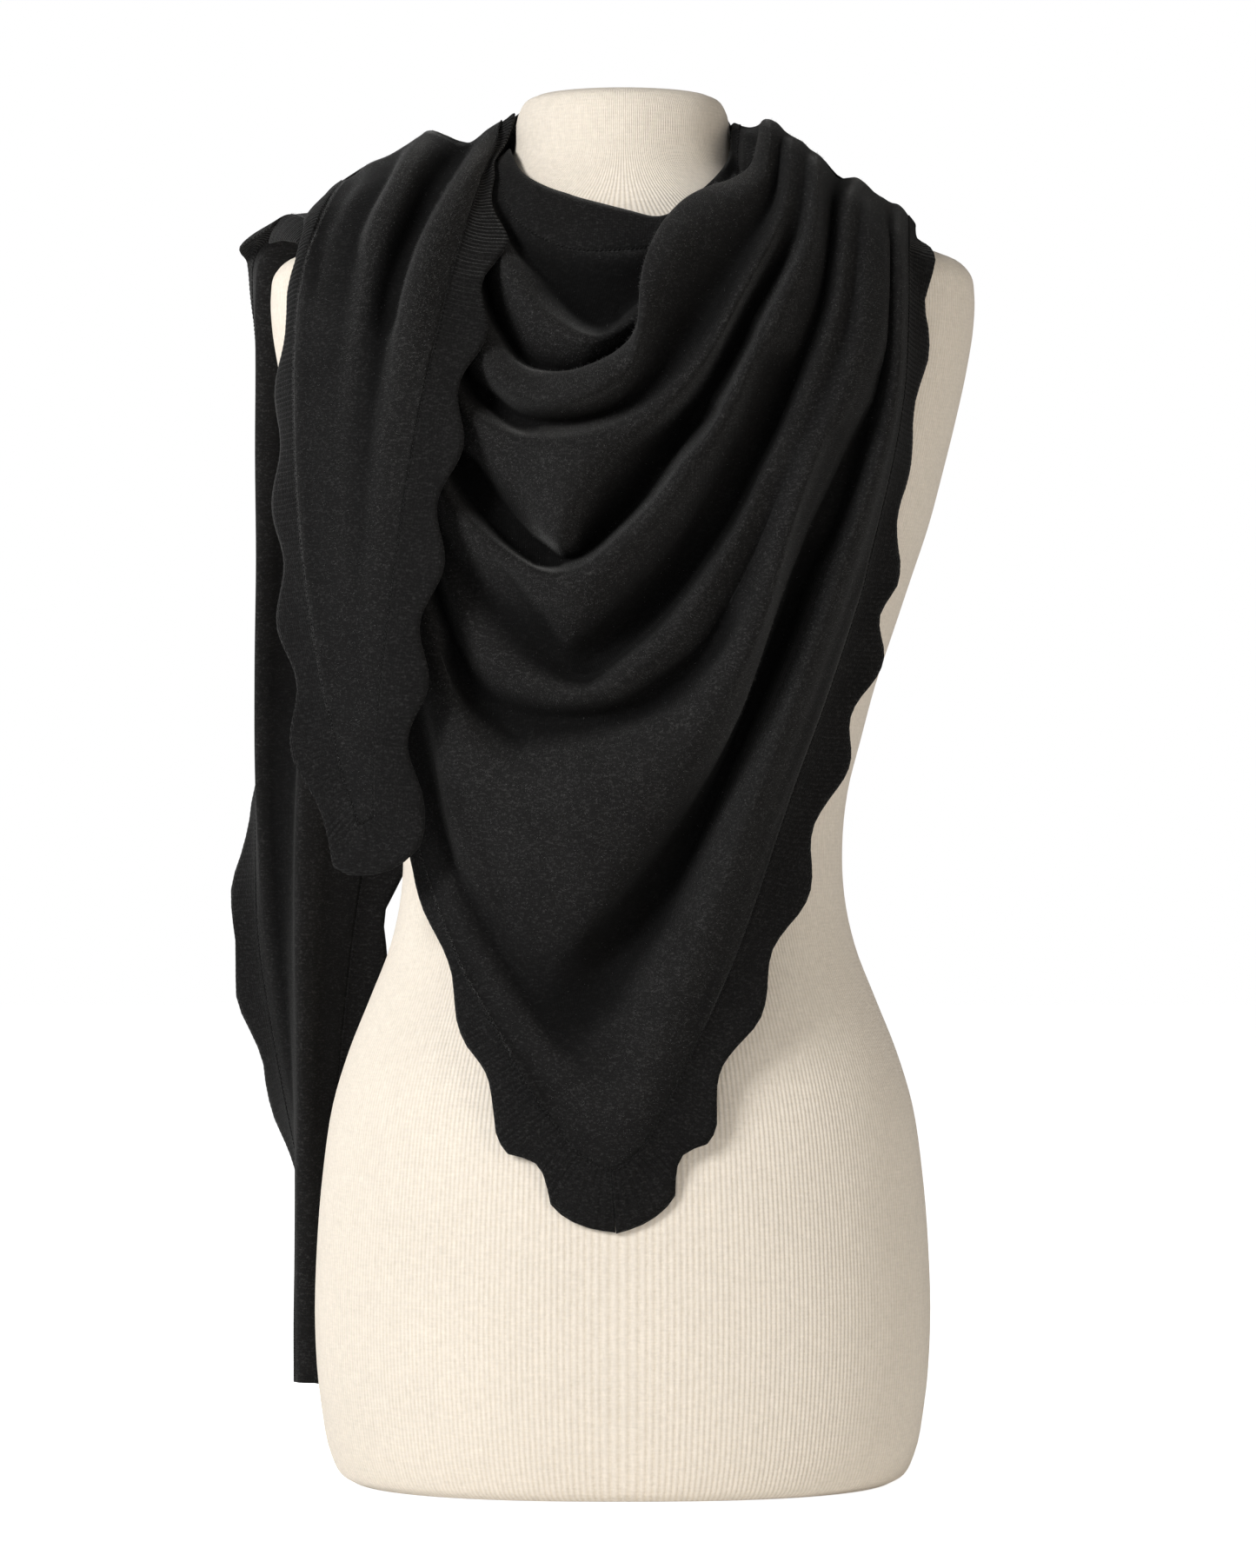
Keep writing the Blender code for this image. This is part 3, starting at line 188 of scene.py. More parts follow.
# The stretch of the yarn's slubs in x, y and z: some drawn out upright, some level.
SLUB_STRETCHES = ((1.0, 1.0, 0.22), (0.3, 0.3, 1.6))


def smooth_through(points, places):
    """A smooth curve through points at whole numbers, read at the given places.

    The tangents weigh the chords on each side, so uneven spacing makes no bulge.
    """
    pts = np.asarray(points, float)
    places = np.asarray(places, float)
    last = len(pts) - 1
    chord = np.linalg.norm(np.diff(pts, axis=0), axis=-1)[..., None] + 1e-6
    slope = np.diff(pts, axis=0) / chord
    speed = np.empty_like(pts)
    speed[0] = slope[0]
    speed[-1] = slope[-1]
    speed[1:-1] = (slope[:-1] * chord[1:] + slope[1:] * chord[:-1]) / (chord[:-1] + chord[1:])
    seg = np.clip(places.astype(int), 0, last - 1)
    t = (places - seg).reshape((-1,) + (1,) * (pts.ndim - 1))
    span = chord[seg]
    start_share = 2 * t ** 3 - 3 * t ** 2 + 1
    start_pull = t ** 3 - 2 * t ** 2 + t
    end_share = 3 * t ** 2 - 2 * t ** 3
    end_pull = t ** 3 - t ** 2
    return (start_share * pts[seg] + start_pull * span * speed[seg]
            + end_share * pts[seg + 1] + end_pull * span * speed[seg + 1])


def column(rows, name):
    """One named column of a table."""
    return np.array([getattr(row, name) for row in rows], float)


def form_fullness(height):
    """The superellipse power of the form's ring at a height."""
    return float(np.interp(height, (NECK_FOOT, NECK_START), (TORSO_FULLNESS, NECK_FULLNESS)))


def unit(values):
    """Vectors of length one."""
    return values / (np.linalg.norm(values, axis=-1)[..., None] + 1e-9)


def new_piece(name, vertices, faces, material, maps=None):
    """A mesh piece of the object; vertices and its map of lengths in millimetres."""
    mesh = bpy.data.meshes.new(name)
    mesh.from_pydata([tuple(float(c) * MM for c in v) for v in vertices], [], faces)
    if maps is not None:
        layer = mesh.uv_layers.new(name="cloth_map")
        corners = np.empty(len(mesh.loops), int)
        mesh.loops.foreach_get("vertex_index", corners)
        layer.data.foreach_set("uv", (np.asarray(maps)[corners] * MM).ravel())
    mesh.shade_smooth()
    mesh.materials.append(material)
    piece = bpy.data.objects.new(name, mesh)
    bpy.context.scene.collection.objects.link(piece)
    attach(piece, "root")
    return piece


def group_node(tree, group, **values):
    """A node group placed in a material, with its plain inputs set."""
    node = tree.nodes.new("ShaderNodeGroup")
    node.node_tree = group
    for name, value in values.items():
        node.inputs[name.replace("_", " ")].default_value = value
    return node


def effect_group(name, inputs, outputs):
    """An empty node group with named sockets; returns it with a maker of maths nodes."""
    group = bpy.data.node_groups.new(name, "ShaderNodeTree")
    for socket, kind, value in inputs:
        made = group.interface.new_socket(name=socket, in_out="INPUT", socket_type=kind)
        if value is not None:
            made.default_value = value
    for socket, kind in outputs:
        group.interface.new_socket(name=socket, in_out="OUTPUT", socket_type=kind)
    entry = group.nodes.new("NodeGroupInput")
    leave = group.nodes.new("NodeGroupOutput")

    def maths(operation, *values):
        node = group.nodes.new("ShaderNodeMath")
        node.operation = operation
        for number, value in enumerate(values):
            if isinstance(value, (int, float)):
                node.inputs[number].default_value = value
            else:
                group.links.new(value, node.inputs[number])
        return node.outputs[0]

    return group, entry.outputs, leave.inputs, maths


def ribs_group():
    """Upright knit ribs with stitches along them, as height and a mask of the grooves."""
    group, given, out, maths = effect_group(
        "knit_ribs",
        (("Across", "NodeSocketFloat", 0.0), ("Along", "NodeSocketFloat", 0.0),
         ("Rib Pitch", "NodeSocketFloat", 0.003), ("Stitch Pitch", "NodeSocketFloat", 0.0016)),
        (("Height", "NodeSocketFloat"), ("Groove", "NodeSocketFloat")))
    turn = maths("MULTIPLY", maths("DIVIDE", given["Across"], given["Rib Pitch"]), math.tau)
    rib = maths("MULTIPLY_ADD", maths("SINE", turn), 0.5, 0.5)
    slant = maths("MULTIPLY", maths("ABSOLUTE", maths("SINE", maths("MULTIPLY", turn, 0.5))),
                  RIB_STITCH_SLANT)
    course = maths("ADD", maths("DIVIDE", given["Along"], given["Stitch Pitch"]), slant)
    stitch = maths("MULTIPLY_ADD", maths("SINE", maths("MULTIPLY", course, math.tau)), 0.5, 0.5)
    height = maths("MULTIPLY_ADD", stitch, RIB_STITCH_RELIEF,
                   maths("POWER", rib, RIB_ROUNDNESS))
    group.links.new(height, out["Height"])
    group.links.new(maths("SUBTRACT", 1.0, rib), out["Groove"])
    return group


knit_ribs = ribs_group()


def jersey_material():
    """Cream ribbed jersey: upright ribs, uneven yarn, shade painted into the rib grooves, and a
    faint tone from ageing.
    """
    material = bpy.data.materials.new("cream_jersey")
    material.use_nodes = True
    tree = material.node_tree
    surface = tree.nodes["Principled BSDF"]
    surface.inputs["Roughness"].default_value = 0.92
    surface.inputs["Specular IOR Level"].default_value = 0.15
    surface.inputs["Sheen Weight"].default_value = 0.12
    surface.inputs["Sheen Roughness"].default_value = 0.5
    place = tree.nodes.new("ShaderNodeUVMap")
    place.uv_map = "cloth_map"
    parts = tree.nodes.new("ShaderNodeSeparateXYZ")
    tree.links.new(place.outputs["UV"], parts.inputs["Vector"])
    ribs = group_node(tree, knit_ribs, Rib_Pitch=JERSEY_RIB_PITCH * MM,
                      Stitch_Pitch=JERSEY_STITCH_PITCH * MM)
    tree.links.new(parts.outputs["X"], ribs.inputs["Across"])
    tree.links.new(parts.outputs["Y"], ribs.inputs["Along"])
    spot = tree.nodes.new("ShaderNodeTexCoord")
    yarn = tree.nodes.new("ShaderNodeTexNoise")
    yarn.inputs["Scale"].default_value = 420.0
    yarn.inputs["Detail"].default_value = 3.0
    age = tree.nodes.new("ShaderNodeTexNoise")
    age.inputs["Scale"].default_value = 9.0
    for noise in (yarn, age):
        tree.links.new(spot.outputs["Object"], noise.inputs["Vector"])
    slubs = []
    for stretch in SLUB_STRETCHES:
        drawn = tree.nodes.new("ShaderNodeMapping")
        drawn.inputs["Scale"].default_value = stretch
        tree.links.new(spot.outputs["Object"], drawn.inputs["Vector"])
        slub = tree.nodes.new("ShaderNodeTexNoise")
        slub.inputs["Scale"].default_value = 560.0
        slub.inputs["Detail"].default_value = 4.0
        slub.inputs["Roughness"].default_value = 0.7
        tree.links.new(drawn.outputs["Vector"], slub.inputs["Vector"])
        slubs.append(slub)
    uneven = tree.nodes.new("ShaderNodeMath")
    uneven.operation = "ADD"
    for number, slub in enumerate(slubs):
        tree.links.new(slub.outputs["Fac"], uneven.inputs[number])
    mottle = tree.nodes.new("ShaderNodeMapRange")
    mottle.inputs["From Min"].default_value = 0.70
    mottle.inputs["From Max"].default_value = 1.30
    mottle.inputs["To Min"].default_value = 0.90
    mottle.inputs["To Max"].default_value = 1.06
    tree.links.new(uneven.outputs[0], mottle.inputs["Value"])
    # Painted shade: the rib grooves are painted darker, unevenly with the yarn noise.
    shade = tree.nodes.new("ShaderNodeMix")
    shade.data_type = "RGBA"
    shade.inputs["A"].default_value = (0.875, 0.800, 0.700, 1.0)
    shade.inputs["B"].default_value = (0.72, 0.630, 0.500, 1.0)
    groove_shade = tree.nodes.new("ShaderNodeMath")
    groove_shade.operation = "MULTIPLY"
    tree.links.new(ribs.outputs["Groove"], groove_shade.inputs[0])
    tree.links.new(yarn.outputs["Fac"], groove_shade.inputs[1])
    tree.links.new(groove_shade.outputs[0], shade.inputs["Factor"])
    tone = tree.nodes.new("ShaderNodeMix")
    tone.data_type = "RGBA"
    tone.blend_type = "MULTIPLY"
    tone.inputs["Factor"].default_value = 0.10
    tree.links.new(shade.outputs["Result"], tone.inputs["A"])
    tree.links.new(age.outputs["Fac"], tone.inputs["B"])
    mottled = tree.nodes.new("ShaderNodeVectorMath")
    mottled.operation = "SCALE"
    tree.links.new(tone.outputs["Result"], mottled.inputs[0])
    tree.links.new(mottle.outputs["Result"], mottled.inputs["Scale"])
    tree.links.new(mottled.outputs["Vector"], surface.inputs["Base Color"])
    relief = tree.nodes.new("ShaderNodeBump")
    relief.inputs["Strength"].default_value = 0.5
    relief.inputs["Distance"].default_value = 0.0005
    tree.links.new(ribs.outputs["Height"], relief.inputs["Height"])
    fine = tree.nodes.new("ShaderNodeBump")
    fine.inputs["Strength"].default_value = 0.35
    fine.inputs["Distance"].default_value = 0.0003
    tree.links.new(yarn.outputs["Fac"], fine.inputs["Height"])
    tree.links.new(relief.outputs["Normal"], fine.inputs["Normal"])
    tree.links.new(fine.outputs["Normal"], surface.inputs["Normal"])
    return material


def build_form_cover():
    """The jersey cover: level rings close together, closed flat under the base."""
    table = np.array([tuple(ring) for ring in FORM_RINGS], float)
    places = np.linspace(0, len(table) - 1, (len(table) - 1) * FORM_RING_STEPS + 1)
    rings = smooth_through(table, places)
    girth = 2.0 * math.pi * JERSEY_GIRTH_RADIUS
    vertices = []
    maps = []
    for height, half_width, front, back in rings:
        power = 2.0 / form_fullness(height)
        for side in range(FORM_SIDES):
            angle = math.tau * side / FORM_SIDES
            cosine = math.cos(angle)
            sine = math.sin(angle)
            depth = back if sine > 0 else front
            vertices.append((
                half_width * math.copysign(abs(cosine) ** power, cosine),
                depth * math.copysign(abs(sine) ** power, sine),
                height,
            ))
            maps.append((girth * side / FORM_SIDES, height))
    faces = []
    for level in range(len(rings) - 1):
        for side in range(FORM_SIDES):
            after = (side + 1) % FORM_SIDES
            low = level * FORM_SIDES
            faces.append((low + side, low + after, low + FORM_SIDES + after,
                          low + FORM_SIDES + side))
    top = (len(rings) - 1) * FORM_SIDES
    base = len(vertices)
    vertices += [(0.0, 0.0, rings[0][0]), (0.0, 0.0, rings[-1][0])]
    maps += [(0.0, 0.0), (0.0, 0.0)]
    for side in range(FORM_SIDES):
        after = (side + 1) % FORM_SIDES
        faces.append((after, side, base))
        faces.append((top + side, top + after, base + 1))
    return new_piece("form_cover", vertices, faces, jersey_material(), maps)


form_cover = build_form_cover()
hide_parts("dress_form")

# The front of the wrap. Fine black knit with a soft nap, one layer, drawn from shoulder
# to shoulder, so that it hangs in a cowl of folds down to its point.
WALL = 2.0
SEAM_GAP = 0.3
# The upright plane over the shoulders in which the front and back stretches meet.
CREST_Y = 2.0
# How a sheet is cleared of what it lies on, and eased where its wall touches itself.
CLEARING_ROUNDS = 4
EASING_ROUNDS = 60
EASING_SPREAD = 12
EASING_STEP = 0.5
EASING_SHARE = 0.3
SEAM_EVENING_ROUNDS = 6
TEST_THICKNESS = 1.25
LAYER_GAP = 2.2
LAYER_REACH = 60.0
FORM_CLEARANCE = 1.8
DrapeLevel = namedtuple("DrapeLevel", "height half_width depth")
# The shape that the cloth lies on in front: a little wider and deeper than the form,
# and hanging nearly straight down from the bust.
FRONT_DRAPE = (
    DrapeLevel(140, 190, 120),
    DrapeLevel(200, 185, 123),
    DrapeLevel(250, 170, 126),
    DrapeLevel(300, 160, 128),
    DrapeLevel(350, 158, 130),
    DrapeLevel(400, 162, 132),
    DrapeLevel(450, 168, 137),
    DrapeLevel(500, 175, 142),
    DrapeLevel(530, 181, 144),
    DrapeLevel(560, 188, 142),
    DrapeLevel(600, 198, 133),
    DrapeLevel(640, 205, 120),
    DrapeLevel(680, 202, 102),
    DrapeLevel(690, 190, 96),
    DrapeLevel(700, 160, 90),
    DrapeLevel(713, 128, 80),
    DrapeLevel(724, 100, 74),
    DrapeLevel(735, 78, 68),
    DrapeLevel(745, 68, 64),
    DrapeLevel(765, 66, 61),
)
DRAPE_FULLNESS = 2.3
Fold = namedtuple("Fold", "name left low right top shoulder path")
# A row is a fold's ridge or valley, from the left shoulder's crest down to its lowest
# point and up to the right shoulder's crest, as (x, z) at eleven stations: left crest,
# shoulder, upper, side and low, bottom, right low, side, upper, shoulder and crest.
# The lifts say how far it stands out from the drape shape there.
FRONT_FOLDS = (
    Fold("neck_edge", -6, -9, -8, -6, -8, (
        (-64, 747), (-61, 740), (-57, 731), (-46, 721), (-26, 712.5), (2, 705),
        (20, 701), (38, 712), (54, 729), (60, 744), (62, 762))),
    Fold("neck_seam", -6, -6, -10, -12, -8, (
        (-70, 741), (-67, 722), (-63, 708), (-53, 694), (-30, 682), (2, 681),
        (16, 683), (33, 696), (57, 713), (64, 737), (66, 761))),
    Fold("neck_crease", -10, -16, -12, -14, -8, (
        (-76, 738), (-72, 714), (-66, 700), (-54, 682), (-34, 657), (-10, 640),
        (6, 650), (28, 674), (57, 703), (67, 729), (70, 760))),
    Fold("bulge", 4, 8, -8, -12, -8, (
        (-83, 736), (-77, 706), (-70, 687), (-60, 664), (-42, 640), (-14, 628),
        (6, 640), (30, 659), (57, 692), (71, 722), (74, 760))),
    Fold("bulge_valley", -14, -10, -8, -8, -4, (
        (-89, 733), (-82, 699), (-77, 676), (-68, 642), (-50, 617), (-22, 614),
        (6, 631), (28, 645), (57, 682), (76, 715), (78, 762))),
    Fold("roll_top", 2, 12, 16, 12, 10, (
        (-92, 731), (-85, 695), (-81, 671), (-71, 633), (-49, 611), (-24, 611),
        (5, 630), (12, 676), (33, 710), (71, 731), (81, 764))),
    Fold("collar_roll", 10, 22, 28, 19, 15, (
        (-97, 730), (-89, 690), (-85, 660), (-75, 619), (-51, 598), (-27, 597),
        (3, 612), (13, 654), (40, 697), (76, 722), (86, 763))),
    Fold("valley_1", -6, -2, 2, 2, 5, (
        (-101, 727), (-93, 688), (-89, 655), (-79, 605), (-58, 588), (-32, 584),
        (-2, 592), (28, 625), (58, 670), (83, 714), (91, 758))),
    Fold("ridge_2", 8, 18, 15, 13, 13, (
        (-107, 725), (-98, 685), (-94, 650), (-82, 586), (-58, 573), (-32, 571),
        (4, 582), (37, 610), (66, 658), (89, 707), (97, 754))),
    Fold("tongue", 0, 12, 2, 1, 8, (
        (-112, 723), (-103, 683), (-99, 642), (-84, 570), (-56, 548), (-34, 522),
        (-7, 549), (33, 592), (65, 648), (92, 702), (101, 752))),
    Fold("valley_2", -12, -9, -11, -7, 4, (
        (-117, 721), (-108, 681), (-104, 632), (-86, 553), (-62, 528), (-33, 510),
        (0, 533), (35, 583), (68, 642), (96, 696), (105, 748))),
    Fold("ridge_3", 8, 17, 18, 16, 11, (
        (-123, 719), (-113, 679), (-109, 620), (-88, 535), (-62, 512), (-30, 500),
        (5, 525), (43, 573), (76, 633), (102, 690), (111, 744))),
    Fold("valley_3", 0, -6, -12, -11, -6, (
        (-130, 716), (-119, 676), (-114, 605), (-90, 512), (-58, 475), (-22, 450),
        (10, 475), (48, 528), (84, 588), (109, 657), (122, 731))),
    Fold("ridge_4", 0, 7, 10, 5, 5, (
        (-137, 714), (-124, 674), (-118, 595), (-93, 500), (-66, 455), (-15, 440),
        (18, 464), (52, 508), (84, 570), (116, 645), (132, 731.5))),
    Fold("valley_4", -9, -6, 1, 4, 2, (
        (-144, 712), (-129, 671), (-122, 585), (-97, 485), (-72, 435), (-8, 428),
        (28, 449), (60, 492), (90, 560), (122, 639), (137, 728))),
    Fold("ridge_5", 4, 11, 15, 12, 8, (
        (-151, 710), (-134, 668), (-126, 575), (-100, 470), (-70, 405), (-15, 405),
        (30, 425), (64, 475), (96, 552), (128, 632), (142, 723))),
    Fold("broad_face", 5, 9, 8, 2, 2, (
        (-158, 710), (-136, 664), (-129, 565), (-106, 450), (-75, 350), (-25, 335),
        (20, 372), (56, 412), (97, 517), (136, 617), (147, 720))),
    Fold("valley_5", 0, -4, -15, -13, -6, (
        (-166, 709.5), (-140, 660), (-133, 556), (-110, 430), (-70, 305), (-35, 268),
        (5, 302), (50, 385), (98, 503), (140, 612), (151, 717.5))),
    Fold("ridge_6", 0, 4, 13, 11, 6, (
        (-175, 711.5), (-144, 656), (-137, 548), (-117, 414), (-66, 279), (-8, 215),
        (30, 285), (74, 390), (115, 500), (148, 606), (155, 716.5))),
    Fold("hem_seam", 0, 0, 0, -3, -2, (
        (-187, 710.5), (-148, 652), (-141, 540), (-122, 397), (-68, 258), (-6, 182),
        (45, 262), (93, 390), (130, 500), (153, 603), (161, 710))),
)
# How much closer to the form each station lies, where the over panel lies on the cloth.
LEFT_FLATTENING = (0, 7, 6, 0, 0, 0, 0, 0, 0, 0, 0)
FOLD_FULLNESS = 1.2
# The share of the left lift at the stations between the left crest and the side.
LEFT_LIFT_SHARES = (0.0, 0.3, 0.7)
# How far a point where the cloth rounds the shoulder is from the crest, in x, y and z.
ROUNDING_SHARES = (0.45, 0.62, 0.24)
FOLD_STEPS = 2
WIDE_FOLD_STEPS = 3
WIDE_FOLDS = ("ridge_5", "broad_face", "valley_5", "ridge_6")
FRONT_COLUMNS_PER_STATION = (2, 2, 2, 3, 4, 4, 4, 4, 4, 3, 2, 2)
TIP_COLUMN = sum(FRONT_COLUMNS_PER_STATION[:6])
CLOTH_THICKNESS = 1.5
CLOTH_CLEARANCE = 0.9
FINE_ROWS = 4
FINE_COLUMNS = 5
FOLD_BLUR_ROUNDS = 90
# The nap's loose fibres, whose grey is a painted highlight: few in the valleys and more for each
# millimetre of a ridge, which paints the ridges lighter.
FIBRE_WIDTH = 0.11
FIBRE_LENGTHS = (0.9, 2.1)
FIBRE_LEAN = 0.55
FIBRE_ROOT = 0.4
LEVEL_NAP = 0.35
NAP_HIGHLIGHT_PER_HEIGHT = 0.35
NAP_LIMITS = (0.08, 2.2)
FRONT_FIBRES = 22000
FRONT_NAP_SEED = 11
# Extra fibres along the left hem's rim, as a painted light line on its edge.
RIM_ROWS = 2
HEM_FIBRES = 3600
HEM_HIGHLIGHT_SEED = 17
CLEAN_TIP_COLUMNS = 16
# The fine knit: how its courses lean and are spaced against its wales, and its relief.
KNIT_LEAN = 2.4
KNIT_COURSES_PER_WALE = 1.25
KNIT_STITCH_RELIEF = 0.6
KNIT_RELIEF = 0.35
RIB_PITCH = 3.0
RIB_STITCH_PITCH = 1.6
# The noises of its nap: scale, detail, and the stretch in x, y and z.
NapNoise = namedtuple("NapNoise", "scale detail stretch")
FLUFF = NapNoise(900.0, 4.0, (1.0, 1.0, 1.0))
HAIR = NapNoise(560.0, 3.0, (0.6, 1.0, 1.4))
SLUB = NapNoise(38.0, 3.0, (1.0, 1.0, 1.0))
HAIR_RELIEF = 0.8
FIBRE_CONTRAST = 2.6


def solid_tree(name):
    """A search tree of one of the frame's solids, in millimetres."""
    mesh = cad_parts[name].data
    vertices = [v.co / MM for v in mesh.vertices]
    return BVHTree.FromPolygons(vertices, [tuple(face.vertices) for face in mesh.polygons])


form_surface = solid_tree("dress_form")
walls = {}


def clear_of_form(points, gap, under=()):
    """Moves points out until their wall stands clear of the form and of the walls on it."""
    moved = points.copy()
    gap = np.broadcast_to(gap, points.shape[:-1])
    for index in np.ndindex(points.shape[:-1]):
        point = Vector(points[index])
        spot, normal, face, distance = form_surface.find_nearest(point)
        outside = (point - spot).dot(normal) > 0.0
        height = distance if outside else -distance
        reach = gap[index] + WALL / 2.0
        for name in under:
            far = spot + normal * LAYER_REACH
            hit, side, face, depth = walls[name].ray_cast(far, -normal, LAYER_REACH)
            if hit is not None:
                reach = max(reach, LAYER_REACH - depth + LAYER_GAP + WALL / 2.0)
        if height < reach:
            moved[index] = np.array(spot + normal * reach)
    return moved


def clear_sheet(grid, gap, under=(), rounds=CLEARING_ROUNDS):
    """Clears a sheet's points and the middles of its cells and edges; its ends keep their y."""
    grid = grid.copy()
    ends = grid[:, (0, -1), 1].copy()
    for _ in range(rounds):
        grid = clear_of_form(grid, gap, under)
        for down, right in ((1, 0), (0, 1), (1, 1)):
            here = grid[:grid.shape[0] - down, :grid.shape[1] - right]
            there = grid[down:, right:]
            middle = (here + there) / 2.0
            push = clear_of_form(middle, gap, under) - middle
            grid[:grid.shape[0] - down, :grid.shape[1] - right] += push
            grid[down:, right:] += push
        grid[:, (0, -1), 1] = ends
    return grid


def wall_shell(grid, normals, wall):
    """The points and four-sided faces of a closed wall round a grid of points."""
    rows, columns = grid.shape[:2]
    outer = (grid + normals * wall / 2.0).reshape(-1, 3)
    inner = (grid - normals * wall / 2.0).reshape(-1, 3)
    vertices = np.concatenate((outer, inner))
    shift = rows * columns
    faces = []
    for row in range(rows - 1):
        for place in range(columns - 1):
            corner = row * columns + place
            beside = corner + 1
            below = corner + columns
            opposite = below + 1
            faces.append((corner, below, opposite, beside))
            faces.append((shift + corner, shift + beside, shift + opposite, shift + below))
    rim = [(0, place) for place in range(columns)]
    rim += [(row, columns - 1) for row in range(1, rows)]
    rim += [(rows - 1, place) for place in range(columns - 2, -1, -1)]
    rim += [(row, 0) for row in range(rows - 2, 0, -1)]
    for here, there in zip(rim, rim[1:] + rim[:1]):
        first = here[0] * columns + here[1]
        second = there[0] * columns + there[1]
        if here[0] == there[0] == rows - 1:
            faces.append((shift + first, first, second, shift + second))
        else:
            faces.append((first, second, shift + second, shift + first))
    return vertices, faces


def triangles_of(faces):
    """Four-sided faces as triangles."""
    halves = []
    for first, second, third, fourth in faces:
        halves.append((first, second, third))
        halves.append((first, third, fourth))
    return halves


def shell_tree(grid, normals, wall):
    """The triangles of a sheet's wall, and a search tree of them."""
    vertices, faces = wall_shell(grid, normals, wall)
    triangles = triangles_of(faces)
    return triangles, BVHTree.FromPolygons([Vector(v) for v in vertices], triangles)


def crossing_points(grid, normals):
    """Which points' outer and inner sides belong to parts of a wall that touch each other."""
    touching = np.zeros(2 * grid.shape[0] * grid.shape[1], bool)
    for wall in (WALL, WALL * TEST_THICKNESS):
        triangles, tree = shell_tree(grid, normals, wall)
        for one, other in tree.overlap(tree):
            if one < other and not set(triangles[one]) & set(triangles[other]):
                touching[list(triangles[one] + triangles[other])] = True
    return touching.reshape((2,) + grid.shape[:2])


def pressed_points(grid, normals, others):
    """Which points of a sheet belong to parts of its wall that cut other solids."""
    triangles, tree = shell_tree(grid, normals, WALL * TEST_THICKNESS)
    pressed = np.zeros(grid.shape[0] * grid.shape[1], bool)
    for other in others:
        for one, _ in tree.overlap(other):
            for corner in triangles[one]:
                pressed[corner % len(pressed)] = True
    return pressed.reshape(grid.shape[:2])


def away_from_form(points):
    """The direction straight out from the form at each point."""
    return np.array([tuple(form_surface.find_nearest(Vector(p))[1]) for p in points])


def grown(marked):
    """The marked points of a grid and their neighbours."""
    wide = marked.copy()
    wide[1:] |= marked[:-1]
    wide[:-1] |= marked[1:]
    wide[:, 1:] |= marked[:, :-1]
    wide[:, :-1] |= marked[:, 1:]
    return wide


def panel_run(seam, inner):
    """The direction from a row inside a sheet to the row at its edge, square to the edge."""
    along = unit(np.gradient(seam, axis=0))
    out = seam - inner
    out -= along * np.sum(out * along, axis=1)[:, None]
    return unit(out)


def sheet_normals(grid):
    """The outward unit normals of a sheet's grid of points, evened along its seams."""
    along = np.gradient(grid, axis=1)
    across = np.gradient(grid, axis=0)
    normals = unit(np.cross(across, along))
    for _ in range(SEAM_EVENING_ROUNDS):
        for edge in (0, -1):
            line = np.pad(normals[edge], ((1, 1), (0, 0)), mode="edge")
            normals[edge] = unit(line[:-2] + 2.0 * line[1:-1] + line[2:])
    return normals


def eased_sheet(grid, gap, under=()):
    """A sheet clear of what it lies on, with its folds eased until its wall clears itself.

    Sides that face each other too closely move apart, and their surroundings are evened.
    """
    grid = clear_sheet(grid, gap, under)
    beneath = [form_surface] + [walls[name] for name in under]
    for number in range(EASING_ROUNDS):
        normals = sheet_normals(grid)
        outer, inner = crossing_points(grid, normals)
        pressed = pressed_points(grid, normals, beneath)
        if not (outer.any() or inner.any() or pressed.any()):
            break
        ends = grid[:, (0, -1), 1].copy()
        grid[outer] -= normals[outer] * EASING_STEP
        grid[inner] += normals[inner] * EASING_STEP
        if pressed.any():
            grid[pressed] += away_from_form(grid[pressed]) * EASING_STEP
        marked = outer | inner
        for _ in range(1 + number // EASING_SPREAD):
            marked = grown(marked)
        padded = np.pad(grid, ((1, 1), (1, 1), (0, 0)), mode="edge")
        mean = (padded[:-2, 1:-1] + padded[2:, 1:-1]
                + padded[1:-1, :-2] + padded[1:-1, 2:]) / 4.0
        grid[marked] += (mean[marked] - grid[marked]) * EASING_SHARE
        grid[:, (0, -1), 1] = ends
        grid = clear_sheet(grid, gap, under, 1)
    return grid


def drape_y(x, z):
    """The front drape shape's y under a point (x, z)."""
    half = np.interp(z, column(FRONT_DRAPE, "height"), column(FRONT_DRAPE, "half_width"))
    depth = np.interp(z, column(FRONT_DRAPE, "height"), column(FRONT_DRAPE, "depth"))
    inside = max(0.0, 1.0 - abs(x / half) ** DRAPE_FULLNESS)
    return -depth * inside ** (1.0 / DRAPE_FULLNESS)


def over_the_edge(crest, below):
    """A point where the cloth rounds the shoulder, between its crest and the point below."""
    return tuple(top + (low - top) * share
                 for top, low, share in zip(crest, below, ROUNDING_SHARES))


def front_rows():
    """The fold table as points in space, one row of stations for each fold."""
    rows = []
    for fold in FRONT_FOLDS:
        lifts = [fold.left * share for share in LEFT_LIFT_SHARES]
        lifts += [fold.left, (fold.left + fold.low) / 2, fold.low]
        lifts += [(fold.low + fold.right) / 2, fold.right, fold.top, fold.shoulder, 0.0]
        lifts = [lift * FOLD_FULLNESS for lift in lifts]
        row = []
        for station, (x, z) in enumerate(fold.path):
            if station in (0, len(fold.path) - 1):
                y = CREST_Y
            else:
                y = drape_y(x, z) - lifts[station] + LEFT_FLATTENING[station]
            row.append((x, y, z))
        row.insert(1, over_the_edge(row[0], row[1]))
        row.insert(-1, over_the_edge(row[-1], row[-2]))
        rows.append(row)
    return np.array(rows, float)


def places_between(counts):
    """Places along a curve with the given number of steps in each interval."""
    places = [0.0]
    for interval, count in enumerate(counts):
        places += [interval + (step + 1) / count for step in range(count)]
    return np.array(places)


